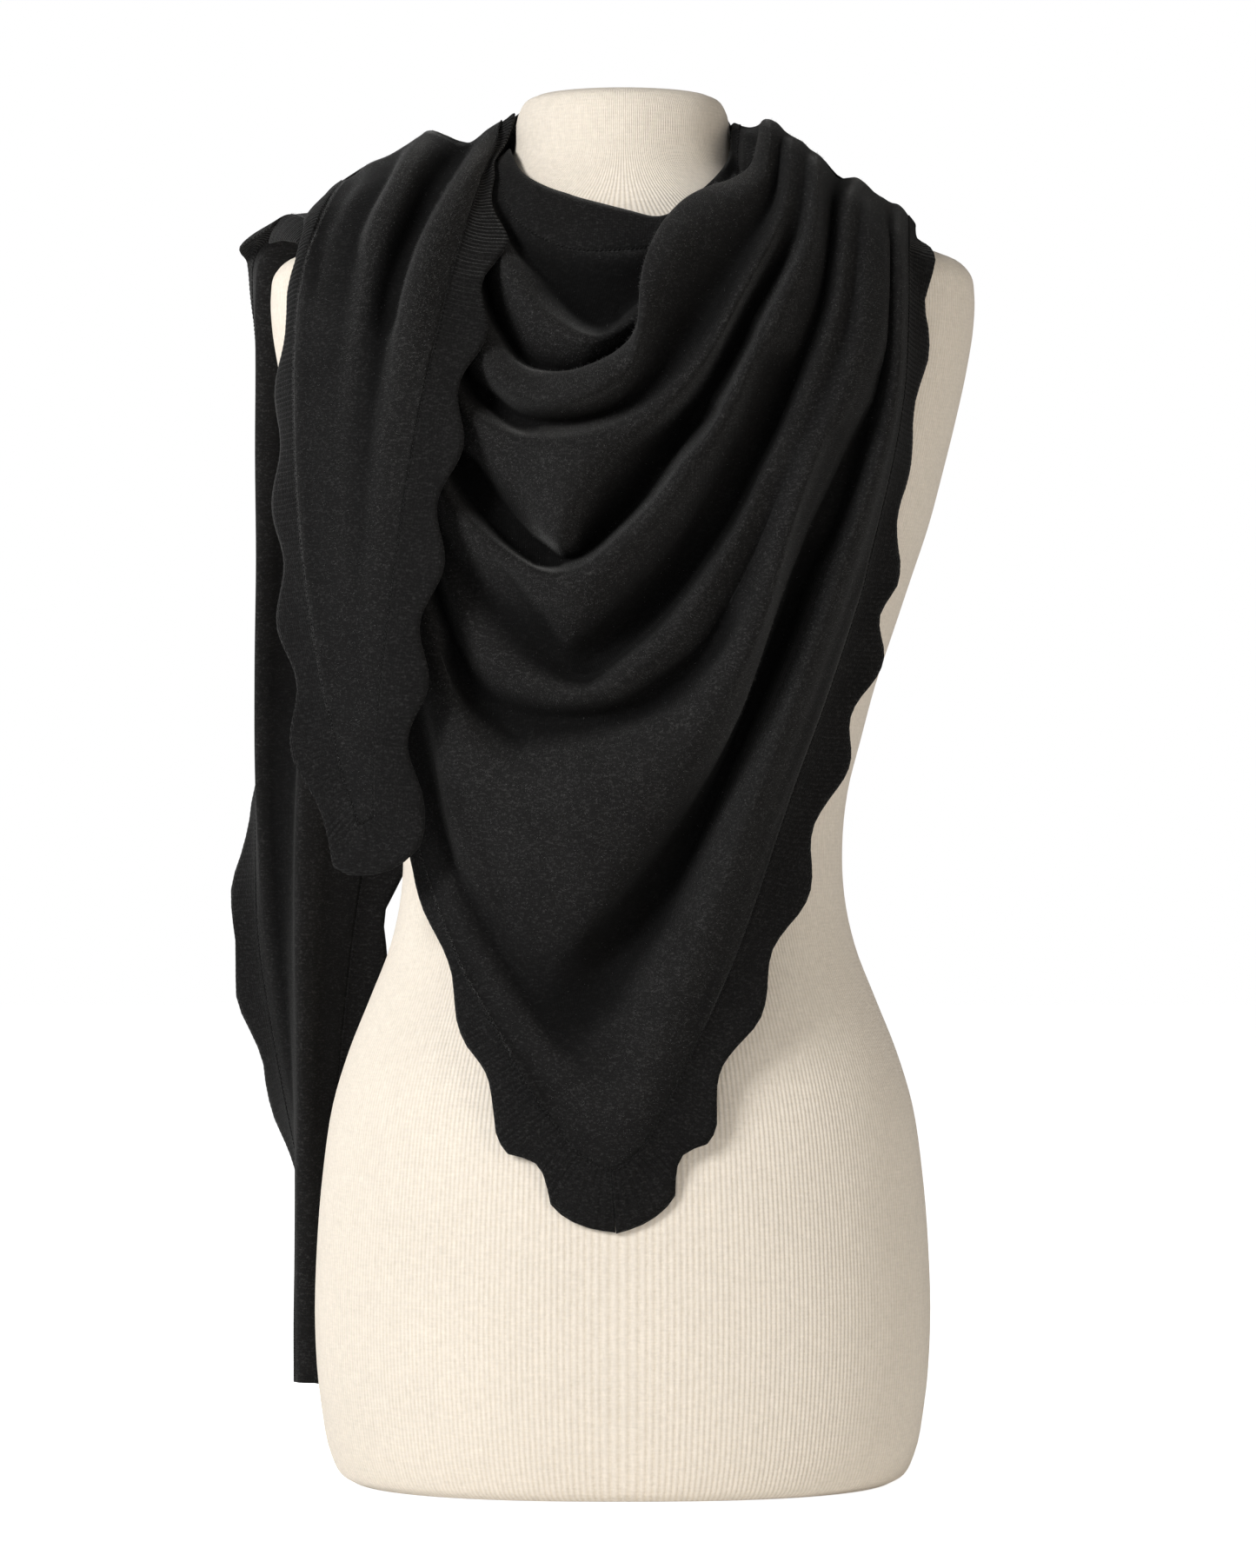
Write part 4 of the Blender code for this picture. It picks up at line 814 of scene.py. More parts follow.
def finer(grid):
    """A sheet's grid with more rows and columns on the same smooth surface."""
    rows, columns = grid.shape[:2]
    tall = smooth_through(grid, np.linspace(0, rows - 1, (rows - 1) * FINE_ROWS + 1))
    wide = smooth_through(tall.swapaxes(0, 1),
                          np.linspace(0, columns - 1, (columns - 1) * FINE_COLUMNS + 1))
    return wide.swapaxes(0, 1)


def surface_normals(grid):
    """The outward unit normals of a fine sheet."""
    return unit(np.cross(np.gradient(grid, axis=0), np.gradient(grid, axis=1)))


def lengths_over(grid):
    """How far along and across a sheet each of its points lies, for its stitches."""
    along = np.linalg.norm(np.diff(grid, axis=1), axis=-1)
    across = np.linalg.norm(np.diff(grid, axis=0), axis=-1)
    u = np.pad(np.cumsum(along, axis=1), ((0, 0), (1, 0)))
    v = np.pad(np.cumsum(across, axis=0), ((1, 0), (0, 0)))
    middle = grid.shape[1] // 2
    return np.stack((u - u[:, middle:middle + 1], v), axis=-1)


def fold_heights(grid, normals):
    """How far each point stands above the cloth across its folds, in millimetres."""
    even = grid.copy()
    for _ in range(FOLD_BLUR_ROUNDS):
        padded = np.pad(even, ((1, 1), (0, 0), (0, 0)), mode="edge")
        even = (padded[:-2] + 2.0 * even + padded[2:]) / 4.0
    return np.sum((grid - even) * normals, axis=-1).reshape(-1)


def cloth_piece(name, grid, normals, thickness, material):
    """A thin closed shell round a fine grid of points, which knows its ridges' height for the light
    and shade painted on its folds.
    """
    vertices, faces = wall_shell(grid, normals, thickness)
    maps = lengths_over(grid).reshape(-1, 2)
    piece = new_piece(name, vertices, faces, material, np.concatenate((maps, maps)))
    heights = piece.data.attributes.new("fold_height", "FLOAT", "POINT")
    heights.data.foreach_set("value", np.tile(fold_heights(grid, normals), 2))
    return piece


Crease = namedtuple("Crease", "depth width path")
# The front's finer creases: how deep and how wide, and the line as (x, z).
FRONT_CREASES = (
    Crease(2.2, 3.6, ((-74, 512), (-62, 500), (-52, 487), (-45, 480), (-33, 463))),
    Crease(3.6, 8.0, ((-103, 469), (-86, 444), (-66, 424), (-49, 404))),
    Crease(1.6, 6.0, ((-96, 398), (-82, 372), (-70, 344), (-62, 318))),
    Crease(2.0, 8.0, ((-60, 396), (-40, 372), (-18, 356), (4, 352))),
    Crease(1.5, 5.0, ((34, 560), (50, 590), (60, 618), (72, 640))),
    Crease(-1.6, 6.0, ((-20, 250), (0, 262), (16, 284), (30, 312))),
    Crease(2.0, 3.2, ((-70, 710), (-56, 681), (-27, 658), (1, 641))),
    Crease(3.2, 5.0, ((-82, 606), (-70, 596), (-58, 585), (-44, 578))),
    Crease(5.2, 6.5, ((-90, 572), (-85, 564), (-72, 543), (-58, 524), (-42, 512), (-31, 508))),
    Crease(3.0, 9.0, ((-27, 520), (-13, 543), (4, 565), (27, 580), (50, 596))),
    Crease(4.2, 11.0, ((118, 590), (100, 534), (86, 478), (61, 424), (38, 379), (13, 328),
                       (-16, 288))),
    Crease(4.2, 11.0, ((86, 627), (72, 585), (61, 557), (50, 531), (24, 497), (-6, 470),
                       (-27, 452))),
    Crease(-2.6, 8.0, ((106, 585), (89, 543), (75, 514), (61, 492), (38, 469), (4, 452),
                       (-15, 441))),
    Crease(2.6, 7.0, ((58, 486), (50, 463), (38, 452), (27, 441), (10, 430), (-13, 424))),
    Crease(2.2, 9.0, ((106, 512), (123, 561), (131, 600))),
    Crease(-3.0, 7.0, ((143, 700), (142, 664), (140, 640), (138, 626), (136, 616))),
    Crease(-2.4, 3.5, ((-112, 335), (-100, 312), (-82, 280), (-71, 258), (-55, 237), (-38, 208))),
    Crease(-1.0, 2.6, ((142, 522), (128, 495), (104, 428), (81, 373), (62, 318), (42, 257))),
)
CREASE_ENDS = 14.0
CREASE_FADE_POWER = 0.7
CREASE_STEPS = 5


def lengths_along(line):
    """How far along a line each of its points lies."""
    return np.concatenate(([0.0], np.cumsum(np.linalg.norm(np.diff(line, axis=0), axis=1))))


def creased(grid, creases):
    """A sheet with soft troughs pressed along lines in its face view, fading at their ends.

    A negative depth raises a ridge instead.
    """
    normals = surface_normals(grid)
    flat = grid[..., (0, 2)].reshape(-1, 2)
    push = np.zeros(len(flat))
    for crease in creases:
        path = smooth_through(np.array(crease.path, float),
                              np.linspace(0, len(crease.path) - 1,
                                          len(crease.path) * CREASE_STEPS))
        starts = path[:-1]
        steps = np.diff(path, axis=0)
        lengths = np.linalg.norm(steps, axis=1)
        runs = lengths_along(path)
        share = np.einsum("ijk,jk->ij", flat[:, None] - starts, steps) / lengths ** 2
        share = np.clip(share, 0.0, 1.0)
        apart = np.linalg.norm(flat[:, None] - starts - share[..., None] * steps, axis=-1)
        best = apart.argmin(axis=1)
        chosen = np.arange(len(flat))
        distance = apart[chosen, best]
        run = runs[best] + share[chosen, best] * lengths[best]
        fade = np.clip(np.minimum(run, runs[-1] - run) / CREASE_ENDS, 0.0, 1.0)
        trough = np.exp(-(distance / crease.width) ** 2)
        push -= crease.depth * trough * fade ** CREASE_FADE_POWER
    return grid + normals * push.reshape(grid.shape[:2] + (1,))


def nap_group():
    """Fine knit under a brushed nap: a height, and how much light fibre shows."""
    group, given, out, maths = effect_group(
        "brushed_knit",
        (("Across", "NodeSocketFloat", 0.0), ("Along", "NodeSocketFloat", 0.0),
         ("Stitch Pitch", "NodeSocketFloat", 0.0013)),
        (("Height", "NodeSocketFloat"), ("Fibre", "NodeSocketFloat"),
         ("Slub", "NodeSocketFloat")))
    turn = maths("MULTIPLY", maths("DIVIDE", given["Across"], given["Stitch Pitch"]), math.tau)
    lean = maths("MULTIPLY", maths("ABSOLUTE", maths("SINE", maths("MULTIPLY", turn, 0.5))),
                 KNIT_LEAN)
    course = maths("MULTIPLY_ADD", maths("DIVIDE", given["Along"], given["Stitch Pitch"]),
                   math.tau * KNIT_COURSES_PER_WALE, lean)
    stitch = maths("MULTIPLY_ADD", maths("SINE", course), 0.5, 0.5)
    wale = maths("MULTIPLY_ADD", maths("COSINE", turn), 0.5, 0.5)
    spot = group.nodes.new("ShaderNodeTexCoord")

    def noise(nap):
        mapping = group.nodes.new("ShaderNodeMapping")
        mapping.inputs["Scale"].default_value = nap.stretch
        group.links.new(spot.outputs["Object"], mapping.inputs["Vector"])
        node = group.nodes.new("ShaderNodeTexNoise")
        node.inputs["Scale"].default_value = nap.scale
        node.inputs["Detail"].default_value = nap.detail
        node.inputs["Roughness"].default_value = 0.65
        group.links.new(mapping.outputs["Vector"], node.inputs["Vector"])
        return node.outputs["Fac"]

    fluff = noise(FLUFF)
    hair = noise(HAIR)
    slub = noise(SLUB)
    knit_height = maths("MULTIPLY", maths("MULTIPLY_ADD", stitch, KNIT_STITCH_RELIEF, wale),
                        KNIT_RELIEF)
    height = maths("ADD", knit_height, maths("MULTIPLY_ADD", hair, HAIR_RELIEF, fluff))
    group.links.new(height, out["Height"])
    sharp = maths("SUBTRACT", maths("ADD", fluff, hair), 1.0)
    group.links.new(maths("MAXIMUM", maths("MULTIPLY", sharp, FIBRE_CONTRAST), 0.0),
                    out["Fibre"])
    group.links.new(slub, out["Slub"])
    return group


brushed_knit = nap_group()


def loose_fibres(name, grid, normals, number, seed, material):
    """Short loose fibres of the nap, each a slim closed spike, most of them on ridges as a painted
    highlight there.
    """
    rows, columns = grid.shape[:2]
    heights = fold_heights(grid, normals).reshape(rows, columns)
    spans = np.linalg.norm(np.cross(np.diff(grid, axis=0)[:, :-1],
                                    np.diff(grid, axis=1)[:-1]), axis=-1)
    nap_and_highlight_weight = spans * np.clip(LEVEL_NAP + NAP_HIGHLIGHT_PER_HEIGHT * heights[:-1, :-1], *NAP_LIMITS)
    chance = np.random.default_rng(seed)
    cells = chance.choice(spans.size, number, p=(nap_and_highlight_weight / nap_and_highlight_weight.sum()).ravel())
    row, place = np.divmod(cells, columns - 1)
    share = chance.random((2, number, 1))
    foot = (grid[row, place]
            + share[0] * (grid[row + 1, place] - grid[row, place])
            + share[1] * (grid[row, place + 1] - grid[row, place]))
    up = normals[row, place]
    lean = unit(up + FIBRE_LEAN * chance.normal(size=(number, 3)))
    lean *= np.sign(np.sum(lean * up, axis=1))[:, None]
    length = chance.uniform(*FIBRE_LENGTHS, (number, 1))
    foot = foot + up * CLOTH_THICKNESS * FIBRE_ROOT
    side = unit(np.cross(lean, up + 0.01))
    other = np.cross(lean, side)
    corners = [foot + FIBRE_WIDTH / 2 * (side * math.cos(turn) + other * math.sin(turn))
               for turn in (0.0, math.tau / 3, 2 * math.tau / 3)]
    vertices = np.stack(corners + [foot + lean * length], axis=1).reshape(-1, 3)
    faces = []
    for first in range(0, 4 * number, 4):
        faces += [(first, first + 2, first + 1), (first, first + 1, first + 3),
                  (first + 1, first + 2, first + 3), (first + 2, first, first + 3)]
    return new_piece(name, vertices, faces, material, vertices[:, (0, 2)])


def black_yarn_material(name, ribbed):
    """Black knit with a soft nap, painted greyer with more sheen on the folds' ridges as highlight
    and darker in their valleys as shade; a band's has ribs as well.
    """
    material = bpy.data.materials.new(name)
    material.use_nodes = True
    tree = material.node_tree
    surface = tree.nodes["Principled BSDF"]
    surface.inputs["Specular IOR Level"].default_value = 0.12
    surface.inputs["Sheen Roughness"].default_value = 0.35
    surface.inputs["Sheen Tint"].default_value = (0.90, 0.90, 0.88, 1.0)
    place = tree.nodes.new("ShaderNodeUVMap")
    place.uv_map = "cloth_map"
    parts = tree.nodes.new("ShaderNodeSeparateXYZ")
    tree.links.new(place.outputs["UV"], parts.inputs["Vector"])
    nap = group_node(tree, brushed_knit)
    tree.links.new(parts.outputs["X"], nap.inputs["Across"])
    tree.links.new(parts.outputs["Y"], nap.inputs["Along"])
    shade = tree.nodes.new("ShaderNodeMix")
    shade.data_type = "RGBA"
    shade.inputs["A"].default_value = (0.0075, 0.0073, 0.0072, 1.0)
    shade.inputs["B"].default_value = (0.032, 0.0315, 0.031, 1.0)
    tree.links.new(nap.outputs["Fibre"], shade.inputs["Factor"])
    tone = tree.nodes.new("ShaderNodeMix")
    tone.data_type = "RGBA"
    tone.blend_type = "MULTIPLY"
    tone.inputs["Factor"].default_value = 0.35
    tree.links.new(shade.outputs["Result"], tone.inputs["A"])
    tree.links.new(nap.outputs["Slub"], tone.inputs["B"])
    # Painted light and shade: the fold height paints the ridges lighter with more sheen, and the
    # valleys darker.
    fold = tree.nodes.new("ShaderNodeAttribute")
    fold.attribute_name = "fold_height"
    painted_fold_light = tree.nodes.new("ShaderNodeMapRange")
    painted_fold_light.interpolation_type = "SMOOTHSTEP"
    painted_fold_light.inputs["From Min"].default_value = -5.0
    painted_fold_light.inputs["From Max"].default_value = 4.0
    painted_fold_light.inputs["To Min"].default_value = 0.32
    painted_fold_light.inputs["To Max"].default_value = 1.5
    tree.links.new(fold.outputs["Fac"], painted_fold_light.inputs["Value"])
    painted_fold_tone = tree.nodes.new("ShaderNodeVectorMath")
    painted_fold_tone.operation = "SCALE"
    tree.links.new(tone.outputs["Result"], painted_fold_tone.inputs[0])
    tree.links.new(painted_fold_light.outputs["Result"], painted_fold_tone.inputs["Scale"])
    tree.links.new(painted_fold_tone.outputs["Vector"], surface.inputs["Base Color"])
    painted_ridge_sheen = tree.nodes.new("ShaderNodeMath")
    painted_ridge_sheen.operation = "MULTIPLY"
    painted_ridge_sheen.inputs[1].default_value = 0.095
    tree.links.new(painted_fold_light.outputs["Result"], painted_ridge_sheen.inputs[0])
    tree.links.new(painted_ridge_sheen.outputs[0], surface.inputs["Sheen Weight"])
    worn = tree.nodes.new("ShaderNodeMapRange")
    worn.inputs["To Min"].default_value = 1.0
    worn.inputs["To Max"].default_value = 0.82
    tree.links.new(nap.outputs["Slub"], worn.inputs["Value"])
    tree.links.new(worn.outputs["Result"], surface.inputs["Roughness"])
    relief = tree.nodes.new("ShaderNodeBump")
    relief.inputs["Strength"].default_value = 0.5
    relief.inputs["Distance"].default_value = 0.0005
    tree.links.new(nap.outputs["Height"], relief.inputs["Height"])
    last = relief
    if ribbed:
        ribs = group_node(tree, knit_ribs, Rib_Pitch=RIB_PITCH * MM,
                          Stitch_Pitch=RIB_STITCH_PITCH * MM)
        tree.links.new(parts.outputs["X"], ribs.inputs["Across"])
        tree.links.new(parts.outputs["Y"], ribs.inputs["Along"])
        last = tree.nodes.new("ShaderNodeBump")
        last.inputs["Strength"].default_value = 0.7
        last.inputs["Distance"].default_value = 0.0006
        tree.links.new(ribs.outputs["Height"], last.inputs["Height"])
        tree.links.new(relief.outputs["Normal"], last.inputs["Normal"])
    tree.links.new(last.outputs["Normal"], surface.inputs["Normal"])
    return material


def fibre_material():
    """Loose ends of the yarn, painted greyer than the knit as a highlight for the light that they
    catch.
    """
    material = bpy.data.materials.new("nap_fibre_painted_light")
    material.use_nodes = True
    tree = material.node_tree
    surface = tree.nodes["Principled BSDF"]
    surface.inputs["Roughness"].default_value = 0.7
    surface.inputs["Sheen Weight"].default_value = 0.3
    spot = tree.nodes.new("ShaderNodeTexCoord")
    mix = tree.nodes.new("ShaderNodeTexNoise")
    mix.inputs["Scale"].default_value = 260.0
    tree.links.new(spot.outputs["Object"], mix.inputs["Vector"])
    # Painted highlight: the black fibres are painted grey, unevenly.
    shade = tree.nodes.new("ShaderNodeMix")
    shade.data_type = "RGBA"
    shade.inputs["A"].default_value = (0.020, 0.020, 0.019, 1.0)
    shade.inputs["B"].default_value = (0.120, 0.118, 0.115, 1.0)
    tree.links.new(mix.outputs["Fac"], shade.inputs["Factor"])
    tree.links.new(shade.outputs["Result"], surface.inputs["Base Color"])
    return material


knit = black_yarn_material("black_knit", False)
fibre = fibre_material()

front_u = places_between(FRONT_COLUMNS_PER_STATION)
fold_curves = np.stack([smooth_through(row, front_u) for row in front_rows()])
front_steps = [WIDE_FOLD_STEPS if fold.name in WIDE_FOLDS else FOLD_STEPS
               for fold in FRONT_FOLDS[:-1]]
front_sheet = smooth_through(fold_curves, places_between(front_steps))
front_sheet[:, (0, -1), 1] = CREST_Y
front_sheet = eased_sheet(front_sheet, FORM_CLEARANCE)
neck_rows = front_steps[0]
front_fine = creased(finer(front_sheet), FRONT_CREASES)
front_fine = clear_of_form(front_fine, CLOTH_CLEARANCE)
front_fine_normals = surface_normals(front_fine)
neck_line = neck_rows * FINE_ROWS
front_cloth = cloth_piece("front_cloth", front_fine[neck_line:], front_fine_normals[neck_line:],
                          CLOTH_THICKNESS, knit)
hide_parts("front_panel")
front_nap_and_highlight = loose_fibres("front_nap_and_highlight", front_fine[neck_line:], front_fine_normals[neck_line:],
                         FRONT_FIBRES, FRONT_NAP_SEED, fibre)
# Extra fibres along the left hem's rim paint a light line on its edge.
left_hem = (slice(-RIM_ROWS, None), slice(None, TIP_COLUMN * FINE_COLUMNS - CLEAN_TIP_COLUMNS))
hem_highlight_fibres = loose_fibres("hem_highlight_fibres", front_fine[left_hem], front_fine_normals[left_hem],
                       HEM_FIBRES, HEM_HIGHLIGHT_SEED, fibre)
walls["front_panel"] = solid_tree("front_panel")

# The front bands. A border of the same yarn in a close rib, linked on edge to edge: plain
# at the neck, and scalloped along both edges of the point, where it is mitred.
BAND_WIDTH = 22.0
SCALLOP_DEPTH = 4.5
SCALLOP_PITCH = 65.0
TIP_EXTRA_WIDTH = 0.66
TIP_SPREAD = 14.0
# How far from the point's corner the scallops' peaks lie along its two edges.
RIGHT_PEAKS = (13, 46, 110, 177, 246, 307, 357)
LEFT_PEAKS = (14, 47, 115, 180)
BAND_COLUMNS_PER_STEP = 3
BAND_TURNING_ROUNDS = 24
BAND_TURNING_STEP = 0.15
BAND_NARROWING = 0.96
# How the left hem band lies at the left crest and the two columns after it.
LEFT_CREST_TURN = ((-0.62, 0.00, -0.78), (-0.72, -0.10, -0.68), (-0.85, -0.10, -0.50))
Showing = namedtuple("Showing", "station share")
# How much of the hem band shows along the front hem, from the left crest to the right
# one: the rest is turned under. The stations count the point where the cloth rounds
# the shoulder too.
HEM_SHOWING = (
    Showing(0.0, 0.75),
    Showing(1.0, 0.5),
    Showing(4.0, 0.6),
    Showing(4.4, 0.4),
    Showing(4.75, 0.45),
    Showing(5.1, 1.1),
    Showing(5.5, 1.3),
    Showing(6.0, 0.95),
    Showing(6.5, 1.25),
    Showing(7.0, 1.05),
    Showing(7.5, 1.2),
    Showing(8.6, 1.28),
    Showing(9.6, 0.85),
    Showing(10.2, 0.8),
    Showing(10.6, 0.92),
    Showing(11.0, 0.66),
    Showing(11.6, 0.4),
    Showing(12.0, 0.25),
)
HemTurn = namedtuple("HemTurn", "station x y z")
# What eases the right hem band outwards from its panel's run, at the same stations.
RIGHT_HEM_TURNS = (
    HemTurn(6.0, 0.0, 0.0, 0.0),
    HemTurn(6.8, 0.3, -0.2, -0.3),
    HemTurn(8.0, 1.2, 0.4, 0.1),
    HemTurn(8.8, 1.2, 0.4, 0.1),
    HemTurn(9.6, 0.2, 0.0, 0.0),
    HemTurn(10.2, 0.4, 0.2, 0.0),
    HemTurn(11.0, 0.8, 0.2, -0.1),
    HemTurn(12.0, 0.2, 0.0, -0.4),
)
BAND_THICKNESS = 2.0
BAND_ROWS = 10
BAND_BEND = 0.38
RIB_STEPS = 4
RIB_DEPTH = 0.16
# The share of the thickness that is left at the band's last two rows.
EDGE_THINNING = (0.85, 0.45)
STITCH_PITCH = 2.4
STITCH_LENGTH = 1.9
STITCH_WIDTH = 1.0
STITCH_HEIGHT = 0.75
STITCH_SLANT = 0.35
STITCH_SHOULDERS = (-0.28, 0.28)
STITCH_SIDES = 6

rib = black_yarn_material("black_rib", True)


def panel_edge_direction(seam, inner):
    """The direction in which a panel's cloth runs on past its seam, at each seam point."""
    out = panel_run(seam, inner)
    padded = np.concatenate((out[:1], out, out[-1:]))
    return unit(padded[:-2] + 2.0 * out + padded[2:])


def trim(grid, first_row, last_row, last_column=False):
    """Draws the chosen seam edges of a grid in by half a seam gap."""
    grid = grid.copy()
    if last_column:
        grid[:, -1] -= panel_run(grid[:, -1], grid[:, -2]) * SEAM_GAP / 2.0
    if first_row:
        grid[0] -= panel_run(grid[0], grid[1]) * SEAM_GAP / 2.0
    if last_row:
        grid[-1] -= panel_run(grid[-1], grid[-2]) * SEAM_GAP / 2.0
    return grid


def level_at_crest(grid, normals, at_start, at_end):
    """Ends a sheet in the upright plane of a crest, half a gap from it, on either side."""
    grid = grid.copy()
    normals = normals.copy()
    for wanted, end, inner in ((at_start, 0, 1), (at_end, -1, -2)):
        if wanted:
            side = np.sign(grid[:, inner, 1].mean() - CREST_Y)
            grid[:, end, 1] = CREST_Y + side * SEAM_GAP / 2.0
            normals[:, end, 1] = 0.0
            normals[:, end] /= np.linalg.norm(normals[:, end], axis=-1)[:, None]
    return grid, normals


def scalloped_band(seam, inner, normals, out, widths, peaks, crests, under=()):
    """A band's seam line and free edge, which runs in scallops.

    The peaks are the scallops' places along the seam, and they go on at an even pitch.
    At a crest it ends upright in the crest's plane, and elsewhere half a seam gap short.
    Where it would cut another wall it turns towards its panel's run and narrows.
    """
    count = len(seam)
    fine = np.linspace(0, count - 1, (count - 1) * BAND_COLUMNS_PER_STEP + 1)
    base = np.arange(count)

    def between(values):
        return np.stack([np.interp(fine, base, values[:, i]) for i in range(3)], axis=1)

    seam_fine = between(seam)
    normal_fine = unit(between(normals))
    out_fine = unit(between(out))
    run_fine = unit(between(panel_run(seam, inner)))
    width = np.interp(fine, base, widths)
    run = lengths_along(seam_fine)
    peaks = (peaks[0] - SCALLOP_PITCH, *peaks)
    peaks += tuple(np.arange(peaks[-1] + SCALLOP_PITCH, run[-1] + 2 * SCALLOP_PITCH, SCALLOP_PITCH))
    wave = np.cos(2.0 * math.pi * np.interp(run, peaks, np.arange(len(peaks))))
    reach = width * (BAND_WIDTH + SCALLOP_DEPTH * wave)
    gaps = np.full(len(fine), FORM_CLEARANCE)
    beneath = [form_surface] + [walls[other] for other in under]
    for _ in range(BAND_TURNING_ROUNDS):
        for at_crest, end in zip(crests, (0, -1)):
            if at_crest:
                out_fine[end, 1] = 0.0
                out_fine[end] = unit(out_fine[end])
        edge = seam_fine + out_fine * reach[:, None]
        for _ in range(CLEARING_ROUNDS):
            edge = clear_of_form(edge, gaps, under)
            middle = (seam_fine + edge) / 2.0
            edge += 2.0 * (clear_of_form(middle, gaps, under) - middle)
        along = np.gradient((seam_fine + edge) / 2.0, axis=0)
        edge_normal = np.cross(edge - seam_fine, along)
        edge_normal *= np.sign(np.sum(edge_normal * normal_fine, axis=1))[:, None]
        grid = np.stack((seam_fine, edge))
        grid_normals = np.stack((normal_fine, unit(edge_normal)))
        grid = trim(grid, True, False)
        for at_crest, end, inner_end in zip(crests, (0, -1), (1, -2)):
            if not at_crest:
                grid[:, end] += unit(grid[:, inner_end] - grid[:, end]) * SEAM_GAP / 2.0
        grid, grid_normals = level_at_crest(grid, grid_normals, *crests)
        marked = crossing_points(grid, grid_normals).any(axis=(0, 1))
        triangles, tree = shell_tree(grid, grid_normals, WALL)
        for wall in walls.values():
            for one, _ in tree.overlap(wall):
                for corner in triangles[one]:
                    marked[corner % len(marked)] = True
        pressed = pressed_points(grid, grid_normals, beneath).any(axis=0)
        if not (marked.any() or pressed.any()):
            break
        gaps[grown(pressed[None, :])[0]] += EASING_STEP
        marked = grown(grown(marked[None, :]))[0]
        out_fine[marked] = unit(out_fine[marked] + BAND_TURNING_STEP * run_fine[marked])
        reach[marked] *= BAND_NARROWING
    return grid


def band_grid(rails, seam, seam_run, under=()):
    """A band's fine grid: it leaves the seam along its panel's run and bends to its edge."""
    places = np.linspace(0, len(seam) - 1, (len(seam) - 1) * FINE_COLUMNS + 1)
    line = smooth_through(seam, places)
    free = smooth_through(rails[1], places * BAND_COLUMNS_PER_STEP)
    run = unit(smooth_through(seam_run, places))
    reach = np.linalg.norm(free - line, axis=1)[:, None]
    bend = line + run * reach * BAND_BEND
    t = np.linspace(0.0, 1.0, BAND_ROWS + 1)[:, None, None]
    grid = (1 - t) ** 2 * line + 2 * t * (1 - t) * bend + t ** 2 * free
    return clear_of_form(grid, CLOTH_CLEARANCE, under)


def band_piece(name, grid, free_first=False, ribbed=True):
    """A band with its ribs across it, unless it is plain, and a rounded free edge."""
    if free_first:
        grid = grid[::-1]
    run = lengths_along(grid[0])
    ribs = max(2, round(run[-1] / RIB_PITCH))
    wanted = np.linspace(0.0, run[-1], ribs * RIB_STEPS + 1)
    place = np.interp(wanted, run, np.arange(len(run)))
    first = np.minimum(place.astype(int), len(run) - 2)
    share = (place - first)[None, :, None]
    grid = grid[:, first] * (1.0 - share) + grid[:, first + 1] * share
    normals = surface_normals(grid)
    if free_first:
        normals = -normals
    rows, columns = grid.shape[:2]
    depth = RIB_DEPTH if ribbed else 0.0
    wave = 1.0 + depth * np.cos(math.tau * np.arange(columns) / RIB_STEPS)
    profile = np.ones(rows)
    profile[-len(EDGE_THINNING):] = EDGE_THINNING
    thickness = BAND_THICKNESS * profile[:, None, None] * wave[None, :, None]
    vertices, faces = wall_shell(grid, normals, thickness)
    if free_first:
        faces = [face[::-1] for face in faces]
    across = np.linalg.norm(np.diff(grid, axis=0), axis=-1)
    maps = np.empty((rows, columns, 2))
    maps[..., 0] = np.arange(columns) * RIB_PITCH / RIB_STEPS
    maps[..., 1] = np.pad(np.cumsum(across, axis=0), ((1, 0), (0, 0)))
    maps = maps.reshape(-1, 2)
    return new_piece(name, vertices, faces, rib if ribbed else knit,
                     np.concatenate((maps, maps)))


def linking_stitches(name, line, normals, material):
    """A row of small stitches that link a band to its panel, on the outer side."""
    run = lengths_along(line)
    count = int(run[-1] / STITCH_PITCH)
    wanted = (np.arange(count) + 0.5) * run[-1] / count
    centre = np.stack([np.interp(wanted, run, line[:, i]) for i in range(3)], axis=1)
    up = unit(np.stack([np.interp(wanted, run, normals[:, i]) for i in range(3)], axis=1))
    along = unit(np.gradient(centre, axis=0))
    side = unit(np.cross(up, along))
    centre = centre + up * BAND_THICKNESS / 2.0
    vertices = []
    faces = []
    maps = []
    for number in range(count):
        start = len(vertices)
        slant = unit(along[number] + STITCH_SLANT * side[number])
        flat = np.cross(up[number], slant)
        vertices.append(centre[number] - slant * STITCH_LENGTH / 2)
        for end in STITCH_SHOULDERS:
            for turn in range(STITCH_SIDES):
                angle = math.tau * turn / STITCH_SIDES
                vertices.append(centre[number] + slant * STITCH_LENGTH * end
                                + flat * STITCH_WIDTH / 2 * math.cos(angle)
                                + up[number] * STITCH_HEIGHT / 2 * math.sin(angle))
        vertices.append(centre[number] + slant * STITCH_LENGTH / 2)
        near = start + 1
        far = near + STITCH_SIDES
        tip = far + STITCH_SIDES
        for turn in range(STITCH_SIDES):
            after = (turn + 1) % STITCH_SIDES
            faces.append((start, near + turn, near + after))
            faces.append((near + turn, far + turn, far + after, near + after))
            faces.append((tip, far + after, far + turn))
        maps += [(wanted[number], 0.0)] * (tip + 1 - start)
    return new_piece(name, vertices, faces, material, maps)


grid, normals = level_at_crest(front_sheet, sheet_normals(front_sheet), True, True)
neck_band = band_piece("neck_band_in_front", front_fine[:neck_line + 1], True, False)
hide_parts("front_neck_band")
walls["front_neck_band"] = solid_tree("front_neck_band")
neck_stitches = linking_stitches("neck_stitches_in_front", front_fine[neck_line],
                                 front_fine_normals[neck_line], knit)

